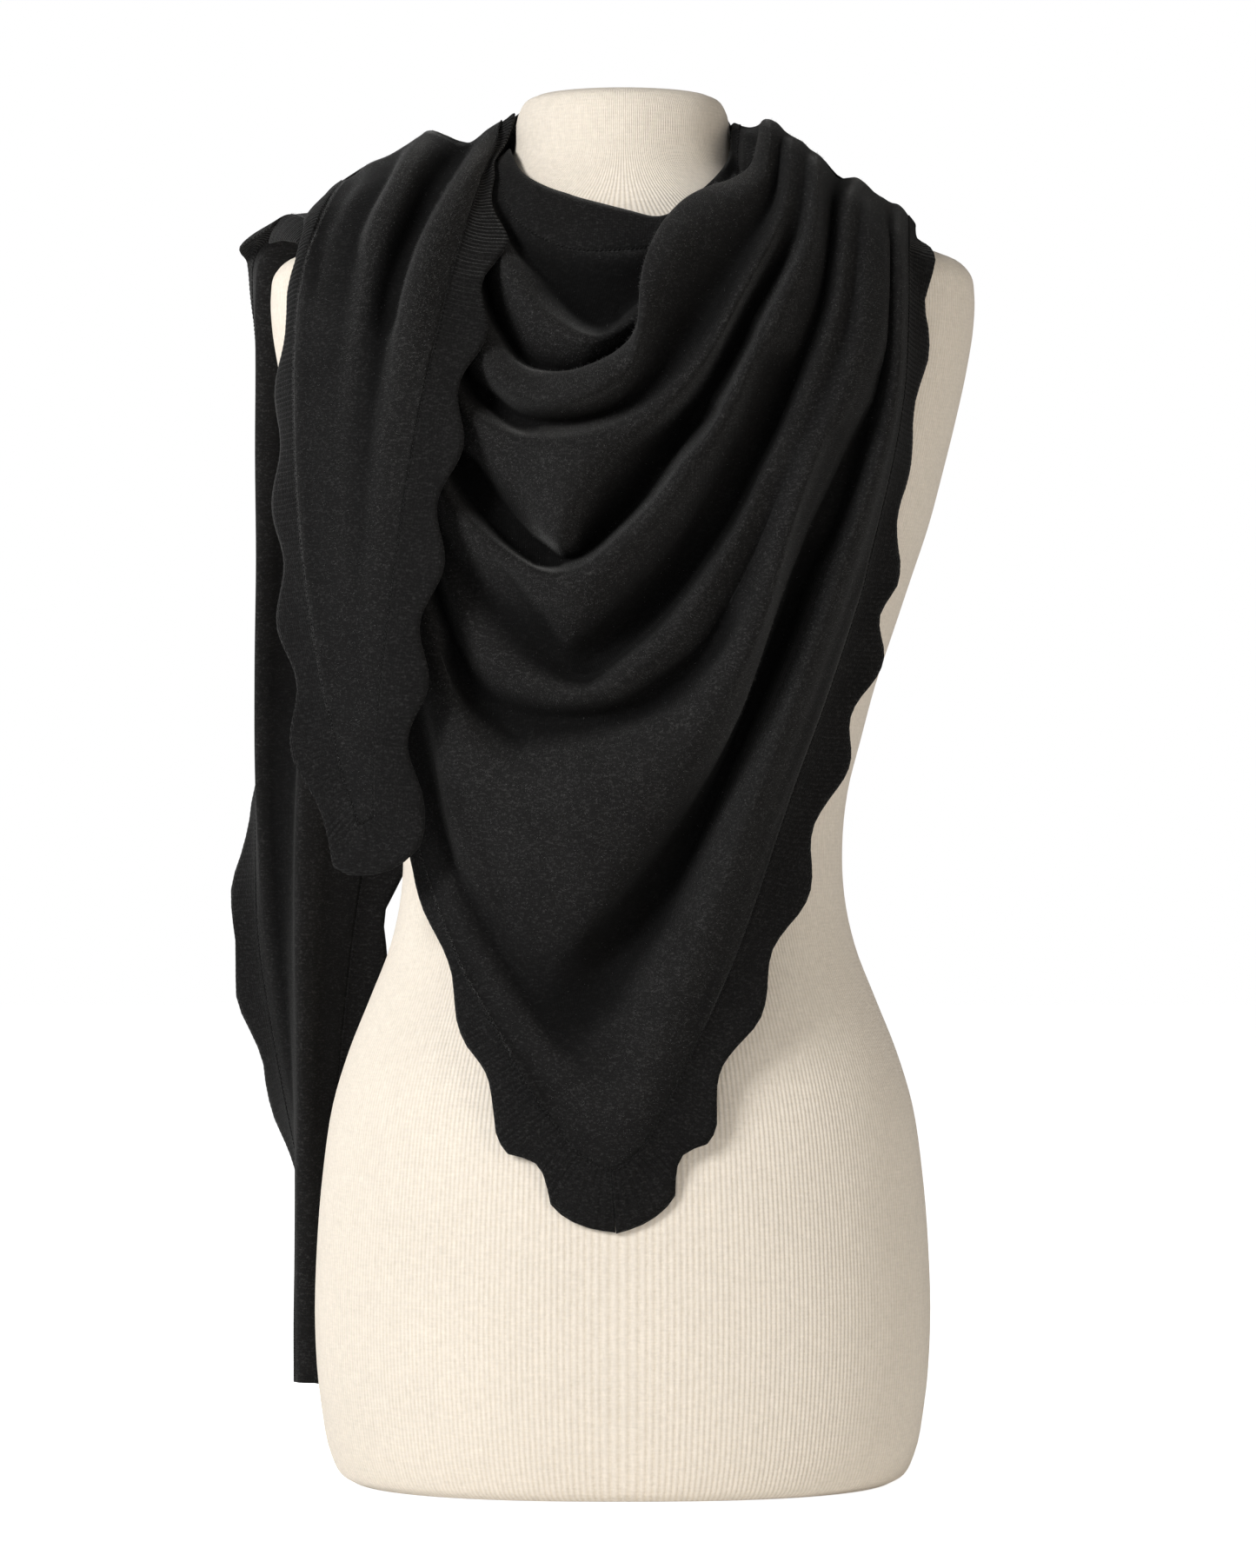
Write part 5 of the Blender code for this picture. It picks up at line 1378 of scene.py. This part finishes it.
hem = grid[-1]
hem_out = panel_edge_direction(hem, grid[-2])
hem_out[:len(LEFT_CREST_TURN)] = LEFT_CREST_TURN
for number, axis in enumerate("xyz"):
    hem_out[:, number] += np.interp(front_u, column(RIGHT_HEM_TURNS, "station"),
                                    column(RIGHT_HEM_TURNS, axis))
hem_out = unit(hem_out)
hem_run = lengths_along(hem)
from_tip = np.abs(hem_run - hem_run[TIP_COLUMN])
hem_width = 1.0 + TIP_EXTRA_WIDTH * np.exp(-(from_tip / TIP_SPREAD) ** 2)
hem_width *= np.interp(front_u, column(HEM_SHOWING, "station"), column(HEM_SHOWING, "share"))
left_peaks = tuple(hem_run[TIP_COLUMN] - peak for peak in reversed(LEFT_PEAKS))
right = slice(TIP_COLUMN, None)
left = slice(None, TIP_COLUMN + 1)
right_rails = scalloped_band(hem[right], grid[-2][right], normals[-1][right],
                             hem_out[right], hem_width[right], RIGHT_PEAKS, (False, True))
point_run = panel_run(front_sheet[-1], front_sheet[-2])
right_band = band_piece("point_band_right", band_grid(right_rails, front_sheet[-1][right],
                                                      point_run[right]))
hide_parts("front_hem_band_right")
walls["front_hem_band_right"] = solid_tree("front_hem_band_right")
left_rails = scalloped_band(hem[left], grid[-2][left], normals[-1][left],
                            hem_out[left], hem_width[left], left_peaks, (True, False))
left_band = band_piece("point_band_left", band_grid(left_rails, front_sheet[-1][left],
                                                    point_run[left]))
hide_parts("front_hem_band_left")
walls["front_hem_band_left"] = solid_tree("front_hem_band_left")
point_stitches = linking_stitches("point_stitches", front_fine[-1], front_fine_normals[-1], knit)

# The tail. The end that goes over the image's left shoulder and hangs down behind it to
# the base: the same knit, drawn in to one long fold, with its band linked on down both
# sides.
TAIL_HEIGHTS = (640, 520, 400, 300, 200, 125, 84)
Strip = namedtuple("Strip", "name lift path")
# A row is one of its seams or folds, as (x, y) at each of those heights. Its lift is the
# share of the way down the left crest at which it starts.
TAIL_ROWS = (
    Strip("inner_seam", 0.0, (
        (-88, 80), (-115, 90), (-140, 92), (-157, 88), (-167, 86), (-173, 81), (-175, 78))),
    Strip("inner_face", 0.3, (
        (-120, 74), (-142, 86), (-163, 86), (-172, 80), (-176, 80), (-178, 78), (-179, 77))),
    Strip("fold", 0.6, (
        (-153, 66), (-170, 80), (-186, 76), (-187, 70), (-186, 74), (-187, 77), (-187, 77))),
    Strip("groove", 0.68, (
        (-163, 66), (-179, 84), (-190, 86), (-192, 82), (-189.5, 80), (-189.5, 81.5),
        (-189.5, 81))),
    Strip("outer_face", 0.84, (
        (-188, 62), (-199, 80), (-203, 91), (-199, 91), (-190.5, 85), (-190, 84), (-190.5, 83))),
    Strip("outer_fold", 0.94, (
        (-210, 57), (-211, 75), (-213, 90), (-207, 92), (-192, 89), (-186, 89), (-186, 88))),
    Strip("outer_seam", 1.0, (
        (-211, 72), (-211, 91), (-213, 101), (-212, 99), (-195, 96), (-182, 95), (-181, 94))),
)
TAIL_COLUMNS_PER_STATION = (2, 2, 2, 2, 2, 2, 2, 1)
TAIL_STEPS = (2, 2, 1, 1, 2, 2)
TAIL_INNER_PEAK = 58.5
TAIL_OUTER_PEAK = 32.5
# How far the point behind the shoulder's top is from the crest, in x, y and z.
TAIL_ROUNDING_SHARES = (0.45, 0.7, 0.3)
# The outer folds reach their full width sooner: a higher power keeps it to the last ones.
OUTER_FULLNESS_POWER = 4.0
BandTurn = namedtuple("BandTurn", "x y z width")
# How the tail's bands lie from the crest down: direction, and width in bands.
TAIL_INNER_TURNS = (
    BandTurn(0.40, 0.00, 0.90, 0.60),
    BandTurn(0.90, 0.10, 0.35, 0.80),
    BandTurn(0.99, 0.05, -0.10, 1.00),
    BandTurn(0.99, 0.00, -0.10, 1.00),
    BandTurn(0.99, 0.00, -0.15, 1.00),
    BandTurn(0.97, 0.05, -0.20, 0.90),
    BandTurn(0.90, 0.10, -0.40, 0.60),
    BandTurn(0.55, 0.10, -0.82, 0.70),
    BandTurn(0.25, 0.05, -0.96, 0.90),
)
TAIL_OUTER_TURNS = (
    BandTurn(-0.62, 0.00, -0.78, 0.75),
    BandTurn(-0.20, 0.90, -0.40, 0.80),
    BandTurn(-0.05, 1.00, 0.00, 1.00),
    BandTurn(-0.05, 1.00, 0.00, 1.00),
    BandTurn(-0.10, 0.99, -0.05, 1.00),
    BandTurn(-0.98, 0.15, -0.10, 1.00),
    BandTurn(-0.45, 0.80, -0.40, 0.90),
    BandTurn(-0.20, 0.80, -0.50, 0.80),
    BandTurn(0.00, 0.30, -0.90, 1.10),
)
# How much of its panel's run each band's own direction takes on.
BAND_FOLLOW = 0.7


def tail_rows(crest_row):
    """The tail's table as points in space, from the left crest down."""
    rows = []
    last = len(crest_row) - 1
    starts = smooth_through(crest_row, [strip.lift * last for strip in TAIL_ROWS])
    for strip, start in zip(TAIL_ROWS, starts):
        row = [(x, y, z) for (x, y), z in zip(strip.path, TAIL_HEIGHTS)]
        first = row[0]
        sideways, back, down = TAIL_ROUNDING_SHARES
        sideways += (1.0 - sideways) * strip.lift ** OUTER_FULLNESS_POWER
        over = (start[0] + (first[0] - start[0]) * sideways, first[1] * back,
                start[2] + (first[2] - start[2]) * down)
        rows.append([tuple(start), over] + row)
    return np.array(rows, float)


def turned_band(turns, places, seam, inner):
    """A band's directions and widths: its own turns, eased towards its panel's run."""
    table = np.array([tuple(turn) for turn in turns], float)
    base = np.arange(len(table))
    values = np.stack([np.interp(places, base, table[:, i]) for i in range(4)], axis=1)
    direction = values[:, :3] / np.linalg.norm(values[:, :3], axis=1)[:, None]
    direction = direction + BAND_FOLLOW * panel_edge_direction(seam, inner)
    return direction / np.linalg.norm(direction, axis=1)[:, None], values[:, 3]


tail_u = places_between((2,) + TAIL_COLUMNS_PER_STATION)
crest_row = front_sheet[neck_rows:, 0]
tail_curves = np.stack([smooth_through(row, tail_u) for row in tail_rows(crest_row)])
tail_v = places_between(TAIL_STEPS)
tail_sheet = eased_sheet(smooth_through(tail_curves, tail_v), FORM_CLEARANCE)
tail_fine = clear_of_form(finer(tail_sheet), CLOTH_CLEARANCE)
tail_fine_normals = surface_normals(tail_fine)
tail_cloth = cloth_piece("tail_cloth", tail_fine, tail_fine_normals, CLOTH_THICKNESS, knit)
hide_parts("tail_panel")
walls["tail_panel"] = solid_tree("tail_panel")
grid, normals = level_at_crest(tail_sheet, sheet_normals(tail_sheet), True, False)
out, widths = turned_band(TAIL_INNER_TURNS, tail_u, grid[0], grid[1])
rails = scalloped_band(grid[0], grid[1], normals[0], out, widths, (TAIL_INNER_PEAK,),
                       (True, False))
tail_inner = band_piece("tail_band_inner", band_grid(
    rails, tail_sheet[0], panel_run(tail_sheet[0], tail_sheet[1]))[::-1], True)
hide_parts("tail_inner_band")
walls["tail_inner_band"] = solid_tree("tail_inner_band")
out, widths = turned_band(TAIL_OUTER_TURNS, tail_u, grid[-1], grid[-2])
rails = scalloped_band(grid[-1], grid[-2], normals[-1], out, widths, (TAIL_OUTER_PEAK,),
                       (True, False))
tail_outer = band_piece("tail_band_outer", band_grid(
    rails, tail_sheet[-1], panel_run(tail_sheet[-1], tail_sheet[-2])))
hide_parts("tail_outer_band")
walls["tail_outer_band"] = solid_tree("tail_outer_band")
tail_stitches = [
    linking_stitches("tail_stitches_inner", tail_fine[0], tail_fine_normals[0], knit),
    linking_stitches("tail_stitches_outer", tail_fine[-1], tail_fine_normals[-1], knit),
]

# The over panel. The other end, from behind the neck over the same shoulder: it hangs
# down in front on top of the cowl, drawn in to its foot, with its band all round.
HangLevel = namedtuple("HangLevel", "height depth sweep")
# The shape that the over panel hangs on in front of the left shoulder.
OVER_DRAPE = (
    HangLevel(320, 134, 0.0055),
    HangLevel(350, 137, 0.0055),
    HangLevel(400, 142, 0.0055),
    HangLevel(450, 149, 0.0055),
    HangLevel(500, 155, 0.0055),
    HangLevel(550, 156, 0.0055),
    HangLevel(600, 148, 0.0055),
    HangLevel(650, 129, 0.0045),
    HangLevel(680, 108, 0.0034),
    HangLevel(700, 89, 0.0032),
    HangLevel(720, 60, 0.0032),
    HangLevel(740, 29, 0.0020),
    HangLevel(760, 2, 0.0),
)
# From here towards the arm the panel sweeps back round the form's side.
OVER_INNER_SIDE = 85.0
# A row is one of its folds or seams, from the left shoulder's crest down to its foot,
# as (x, z) at each station. Its lift is how far it stands out, and fades on the way down.
OVER_FOLDS = (
    Strip("inner_seam", 0, (
        (-67, 763), (-78, 729), (-87, 690), (-97, 645), (-109, 585), (-122, 500),
        (-131, 430), (-134, 392), (-134.0, 372.0))),
    Strip("inner_fold", 11, (
        (-74, 757), (-88, 724), (-102, 690), (-114, 650), (-124, 590), (-134, 500),
        (-138, 430), (-138, 392), (-135.4, 371.2))),
    Strip("inner_groove", -8, (
        (-86, 751), (-98, 721), (-113, 686), (-125, 646), (-134, 588), (-141, 500),
        (-142, 430), (-141, 392), (-136.6, 370.6))),
    Strip("shoulder_fold", 10, (
        (-110, 758), (-122, 727), (-133, 698), (-141, 650), (-147, 590), (-149, 500),
        (-146, 430), (-143, 392), (-137.8, 370.0))),
    Strip("shoulder_groove", -6, (
        (-120, 749), (-130, 721), (-142, 692), (-150, 648), (-155, 589), (-156, 500),
        (-150, 430), (-145, 392), (-139.0, 369.4))),
    Strip("face", 1, (
        (-142, 740), (-150, 714), (-160, 686), (-165, 646), (-167, 588), (-163, 500),
        (-154, 430), (-147.5, 392), (-140.2, 368.7))),
    Strip("outer_seam", 0, (
        (-158, 730), (-167, 703), (-173, 680), (-177, 645), (-177, 585), (-170, 500),
        (-158, 430), (-150, 392), (-141.4, 368.0))),
)
OVER_INNER_FADE = (1.0, 1.0, 1.0, 0.85, 0.4, 0.1, 0.0, 0.0, 0.0)
OVER_SHOULDER_FADE = (1.0, 1.0, 0.7, 0.25, 0.05, 0.0, 0.0, 0.0, 0.0)
OVER_COLUMNS_PER_STATION = (2, 2, 2, 2, 3, 3, 2, 2)
OVER_STEPS = 2
OVER_INNER_PEAK = 61.8
OVER_OUTER_PEAK = 45.5
FRONT_WALLS = ("front_panel", "front_neck_band", "front_hem_band_left")
# How the over panel's bands lie, at the same stations: direction, and width in bands.
OVER_INNER_TURNS = (
    BandTurn(0.80, 0.00, 0.60, 0.35),
    BandTurn(0.60, 0.70, 0.35, 0.45),
    BandTurn(0.95, 0.20, 0.10, 1.00),
    BandTurn(0.96, -0.10, -0.08, 1.00),
    BandTurn(0.97, -0.10, -0.12, 1.00),
    BandTurn(0.98, -0.15, -0.10, 1.00),
    BandTurn(0.99, -0.10, -0.05, 1.00),
    BandTurn(0.99, -0.05, -0.10, 1.05),
    BandTurn(0.62, 0.00, -0.78, 1.25),
)
OVER_OUTER_TURNS = (
    BandTurn(-0.50, 0.00, -0.87, 0.75),
    BandTurn(-0.75, 0.05, -0.66, 0.55),
    BandTurn(-0.40, 0.75, -0.50, 0.40),
    BandTurn(-0.45, 0.85, -0.25, 0.65),
    BandTurn(-0.50, 0.86, -0.05, 0.90),
    BandTurn(-0.75, 0.66, -0.05, 1.00),
    BandTurn(-0.92, 0.35, -0.15, 1.05),
    BandTurn(-0.85, 0.10, -0.50, 1.10),
    BandTurn(-0.20, 0.00, -1.00, 1.25),
)
# The over panel's finer creases; the first and third are ridges, and so is the last.
OVER_CREASES = (
    Crease(-3.2, 8.0, ((-67, 767), (-87, 721), (-107, 670), (-115, 617))),
    Crease(4.2, 6.5, ((-90, 752), (-107, 721), (-116, 693), (-125, 660), (-129, 630))),
    Crease(-3.0, 8.0, ((-119, 756), (-122, 721), (-130, 698), (-139, 675))),
    Crease(3.0, 7.0, ((-146, 738), (-158, 710), (-166, 681), (-168, 655))),
    Crease(-1.6, 3.5, ((-170, 690), (-174, 633), (-173, 552), (-166, 485), (-156, 425))),
)
CORNER_COLUMNS = 6
OVER_FIBRES = 7000
OVER_NAP_SEED = 23
# Extra fibres along the over panel's outer rim, as a painted light line on its edge.
RIM_FIBRES = 3600
RIM_HIGHLIGHT_SEED = 29


def over_y(x, z):
    """The over panel's y at a point (x, z)."""
    heights = column(OVER_DRAPE, "height")
    depth = np.interp(z, heights, column(OVER_DRAPE, "depth"))
    sweep = np.interp(z, heights, column(OVER_DRAPE, "sweep"))
    return -depth + sweep * max(0.0, -x - OVER_INNER_SIDE) ** 2


def over_rows():
    """The over panel's fold table as points in space."""
    rows = []
    for strip in OVER_FOLDS:
        fade = OVER_SHOULDER_FADE if "shoulder" in strip.name else OVER_INNER_FADE
        row = []
        for station, (x, z) in enumerate(strip.path):
            y = over_y(x, z) - strip.lift * fade[station]
            row.append((x, CREST_Y if station == 0 else min(y, CREST_Y), z))
        rows.append(row)
    return np.array(rows, float)


over_u = places_between(OVER_COLUMNS_PER_STATION)
over_curves = np.stack([smooth_through(row, over_u) for row in over_rows()])
over_v = places_between([OVER_STEPS] * (len(OVER_FOLDS) - 1))
over_sheet = eased_sheet(smooth_through(over_curves, over_v), FORM_CLEARANCE, FRONT_WALLS)
over_fine = clear_of_form(creased(finer(over_sheet), OVER_CREASES), CLOTH_CLEARANCE)
over_fine_normals = surface_normals(over_fine)
over_cloth = cloth_piece("over_cloth", over_fine, over_fine_normals, CLOTH_THICKNESS, knit)
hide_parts("over_panel")
over_nap_and_highlight = loose_fibres("over_nap_and_highlight", over_fine, over_fine_normals, OVER_FIBRES,
                        OVER_NAP_SEED, fibre)
# Extra fibres along the outer rim paint a light line on its edge.
rim = slice(-RIM_ROWS, None)
rim_highlight_fibres = loose_fibres("over_rim_highlight_fibres", over_fine[rim], over_fine_normals[rim],
                       RIM_FIBRES, RIM_HIGHLIGHT_SEED, fibre)
walls["over_panel"] = solid_tree("over_panel")
over_grid, normals = level_at_crest(over_sheet, sheet_normals(over_sheet), True, False)
over_inner_out, inner_widths = turned_band(OVER_INNER_TURNS, over_u, over_grid[0],
                                           over_grid[1])
inner_rails = scalloped_band(over_grid[0], over_grid[1], normals[0], over_inner_out,
                             inner_widths, (OVER_INNER_PEAK,), (True, False), FRONT_WALLS)
inner_run = panel_run(over_sheet[0], over_sheet[1])
inner_run[-1] = inner_rails[1, -1] - over_sheet[0, -1]
over_inner = band_piece("over_band_inner", band_grid(
    inner_rails, over_sheet[0], inner_run)[::-1], True)
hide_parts("over_inner_band")
walls["over_inner_band"] = solid_tree("over_inner_band")
over_outer_out, widths = turned_band(OVER_OUTER_TURNS, over_u, over_grid[-1], over_grid[-2])
corner = over_inner_out[-1:]
outer_seam = np.concatenate((over_grid[-1], over_grid[:1, -1]))
outer_inside = np.concatenate((over_grid[-2], over_grid[:1, -2]))
outer_rails = scalloped_band(
    outer_seam, outer_inside, np.concatenate((normals[-1], normals[:1, -1])),
    np.concatenate((over_outer_out, corner)), np.append(widths, inner_widths[-1]),
    (OVER_OUTER_PEAK,), (True, False), FRONT_WALLS)
# Both bands end on one line at the corner of the foot.
corner_miss = inner_rails[1, -1] - outer_rails[1, -1]
outer_rails[1, -CORNER_COLUMNS:] += np.linspace(0, 1, CORNER_COLUMNS)[:, None] * corner_miss
fine_outer_seam = np.concatenate((over_sheet[-1], over_sheet[:1, -1]))
outer_run = panel_run(fine_outer_seam, outer_inside)
outer_run[-1] = inner_run[-1]
over_outer = band_piece("over_band_outer", band_grid(outer_rails, fine_outer_seam, outer_run))
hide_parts("over_outer_band")
walls["over_outer_band"] = solid_tree("over_outer_band")
over_stitches = [
    linking_stitches("over_stitches_inner", over_fine[0], over_fine_normals[0], knit),
    linking_stitches("over_stitches_outer", over_fine[-1], over_fine_normals[-1], knit),
]

# The back of the wrap. The same knit goes on from the right shoulder behind the neck,
# hangs in soft swags across the upper back over the tail, and its band is linked on at
# the neck and along the lower edge.
BackStation = namedtuple("BackStation", "along across least_y over_tail")
# The shape that the cloth lies on across the upper back.
BACK_DRAPE = (
    DrapeLevel(460, 176, 96),
    DrapeLevel(520, 180, 103),
    DrapeLevel(560, 190, 108),
    DrapeLevel(600, 198, 111),
    DrapeLevel(640, 205, 109),
    DrapeLevel(680, 202, 101),
    DrapeLevel(690, 190, 97),
    DrapeLevel(700, 160, 92),
    DrapeLevel(713, 128, 87),
    DrapeLevel(724, 100, 81),
    DrapeLevel(735, 80, 75),
    DrapeLevel(745, 70, 70),
    DrapeLevel(765, 68, 67),
)
# Stations across the back from the right crest to the left one: the share of the way
# along and across, the least y, and how far the tail under it lifts the cloth.
BACK_STATIONS = (
    BackStation(0.00, 0.00, CREST_Y, 0),
    BackStation(0.08, 0.03, 24, 0),
    BackStation(0.21, 0.15, 44, 0),
    BackStation(0.36, 0.33, 58, 0),
    BackStation(0.50, 0.50, 62, 2),
    BackStation(0.64, 0.67, 60, 7),
    BackStation(0.79, 0.85, 50, 9),
    BackStation(0.92, 0.97, 34, 9),
    BackStation(1.00, 1.00, CREST_Y, 0),
)
BACK_COLUMNS_PER_STATION = (3, 3, 2, 2, 2, 2, 3, 3)
BACK_ROWS = 16
# The right crest without its folds, which the cloth evens out to behind the shoulder.
SOFT_RIGHT_CREST = (
    (66, CREST_Y, 758), (82, CREST_Y, 760), (105, CREST_Y, 750), (130, CREST_Y, 732),
    (147, CREST_Y, 722), (161, CREST_Y, 710),
)
CREST_FADE = 0.12
BACK_NECK_SAG = 3.0
BACK_HEM_SAG = 180.0
BACK_FOLDS = 5.0
BACK_FOLD_DEPTH = 5.0
BACK_SAG_POWER = 0.9
BACK_NECK_SHOWING = (
    Showing(0.0, 0.2),
    Showing(1.0, 0.5),
    Showing(2.0, 0.75),
    Showing(6.0, 0.75),
    Showing(7.0, 0.55),
    Showing(8.0, 0.35),
)
BACK_BAND_SHOWING = (
    Showing(0.0, 0.3),
    Showing(1.0, 0.7),
    Showing(2.0, 1.0),
    Showing(8.0, 1.0),
)
BACK_BAND_PEAK = 52.0
NECK_BAND_AT_RIGHT = (-0.95, 0.0, 0.30)
TAIL_WALLS = ("tail_panel", "tail_inner_band", "tail_outer_band")


def back_y(x, z):
    """The back drape shape's y at a point (x, z)."""
    half = np.interp(z, column(BACK_DRAPE, "height"), column(BACK_DRAPE, "half_width"))
    depth = np.interp(z, column(BACK_DRAPE, "height"), column(BACK_DRAPE, "depth"))
    inside = max(0.0, 1.0 - abs(x / half) ** DRAPE_FULLNESS)
    return depth * inside ** (1.0 / DRAPE_FULLNESS)


def back_rows(right_crest, left_crest):
    """Rows across the back between two crest profiles, neck first."""
    rows = []
    last = len(right_crest) - 1
    soft_places = np.linspace(0, len(SOFT_RIGHT_CREST) - 1, last + 1)
    soft_crest = smooth_through(SOFT_RIGHT_CREST, soft_places)
    for number, (crest, soft, end) in enumerate(zip(right_crest, soft_crest, left_crest)):
        share = number / last
        sag = BACK_NECK_SAG + (BACK_HEM_SAG - BACK_NECK_SAG) * share
        wave = math.cos(2.0 * math.pi * BACK_FOLDS * share)
        row = []
        for station in BACK_STATIONS:
            swing = math.sin(math.pi * station.along)
            start = soft + (crest - soft) * max(0.0, 1.0 - station.along / CREST_FADE)
            x = start[0] + (end[0] - start[0]) * station.across
            z = start[2] + (end[2] - start[2]) * station.along - sag * swing ** BACK_SAG_POWER
            y = back_y(x, z) + BACK_FOLD_DEPTH * wave * swing
            y = max(y, station.least_y) + station.over_tail
            if station.along in (0.0, 1.0):
                y = CREST_Y
            row.append((x, y, z))
        rows.append(row)
    return np.array(rows, float)


share = np.linspace(0.0, 1.0, BACK_ROWS + 1)
right_crest = smooth_through(front_sheet[neck_rows:, -1],
                             share * (len(front_sheet) - 1 - neck_rows))
left_crest = smooth_through(over_sheet[:, 0], share * (len(over_sheet) - 1))
back_u = places_between(BACK_COLUMNS_PER_STATION)
back_sheet = np.stack([smooth_through(row, back_u) for row in back_rows(right_crest, left_crest)])
back_sheet = eased_sheet(back_sheet, FORM_CLEARANCE, TAIL_WALLS)
back_fine = clear_of_form(finer(back_sheet), CLOTH_CLEARANCE)
back_fine_normals = surface_normals(back_fine)
back_cloth = cloth_piece("back_cloth", back_fine, back_fine_normals, CLOTH_THICKNESS, knit)
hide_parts("back_panel")
walls["back_panel"] = solid_tree("back_panel")
grid, normals = level_at_crest(back_sheet, sheet_normals(back_sheet), True, True)
out = panel_edge_direction(grid[-1], grid[-2])
out[0] = hem_out[-1]
out[-1] = over_outer_out[0]
widths = np.interp(back_u, column(BACK_BAND_SHOWING, "station"),
                   column(BACK_BAND_SHOWING, "share"))
rails = scalloped_band(grid[-1], grid[-2], normals[-1], out, widths, (BACK_BAND_PEAK,),
                       (True, True), TAIL_WALLS)
back_hem = band_piece("back_band", band_grid(
    rails, back_sheet[-1], panel_run(back_sheet[-1], back_sheet[-2])))
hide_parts("back_hem_band")
walls["back_hem_band"] = solid_tree("back_hem_band")
out = panel_edge_direction(grid[0], grid[1])
out[0] = NECK_BAND_AT_RIGHT
out[-1] = over_inner_out[0]
widths = np.interp(back_u, column(BACK_NECK_SHOWING, "station"),
                   column(BACK_NECK_SHOWING, "share"))
rails = scalloped_band(grid[0], grid[1], normals[0], out, widths, (BACK_BAND_PEAK,),
                       (True, True), TAIL_WALLS)
back_neck = band_piece("neck_band_behind", band_grid(
    rails, back_sheet[0], panel_run(back_sheet[0], back_sheet[1]))[::-1], True)
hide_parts("back_neck_band")
back_stitches = [
    linking_stitches("back_stitches_neck", back_fine[0], back_fine_normals[0], knit),
    linking_stitches("back_stitches_hem", back_fine[-1], back_fine_normals[-1], knit),
]
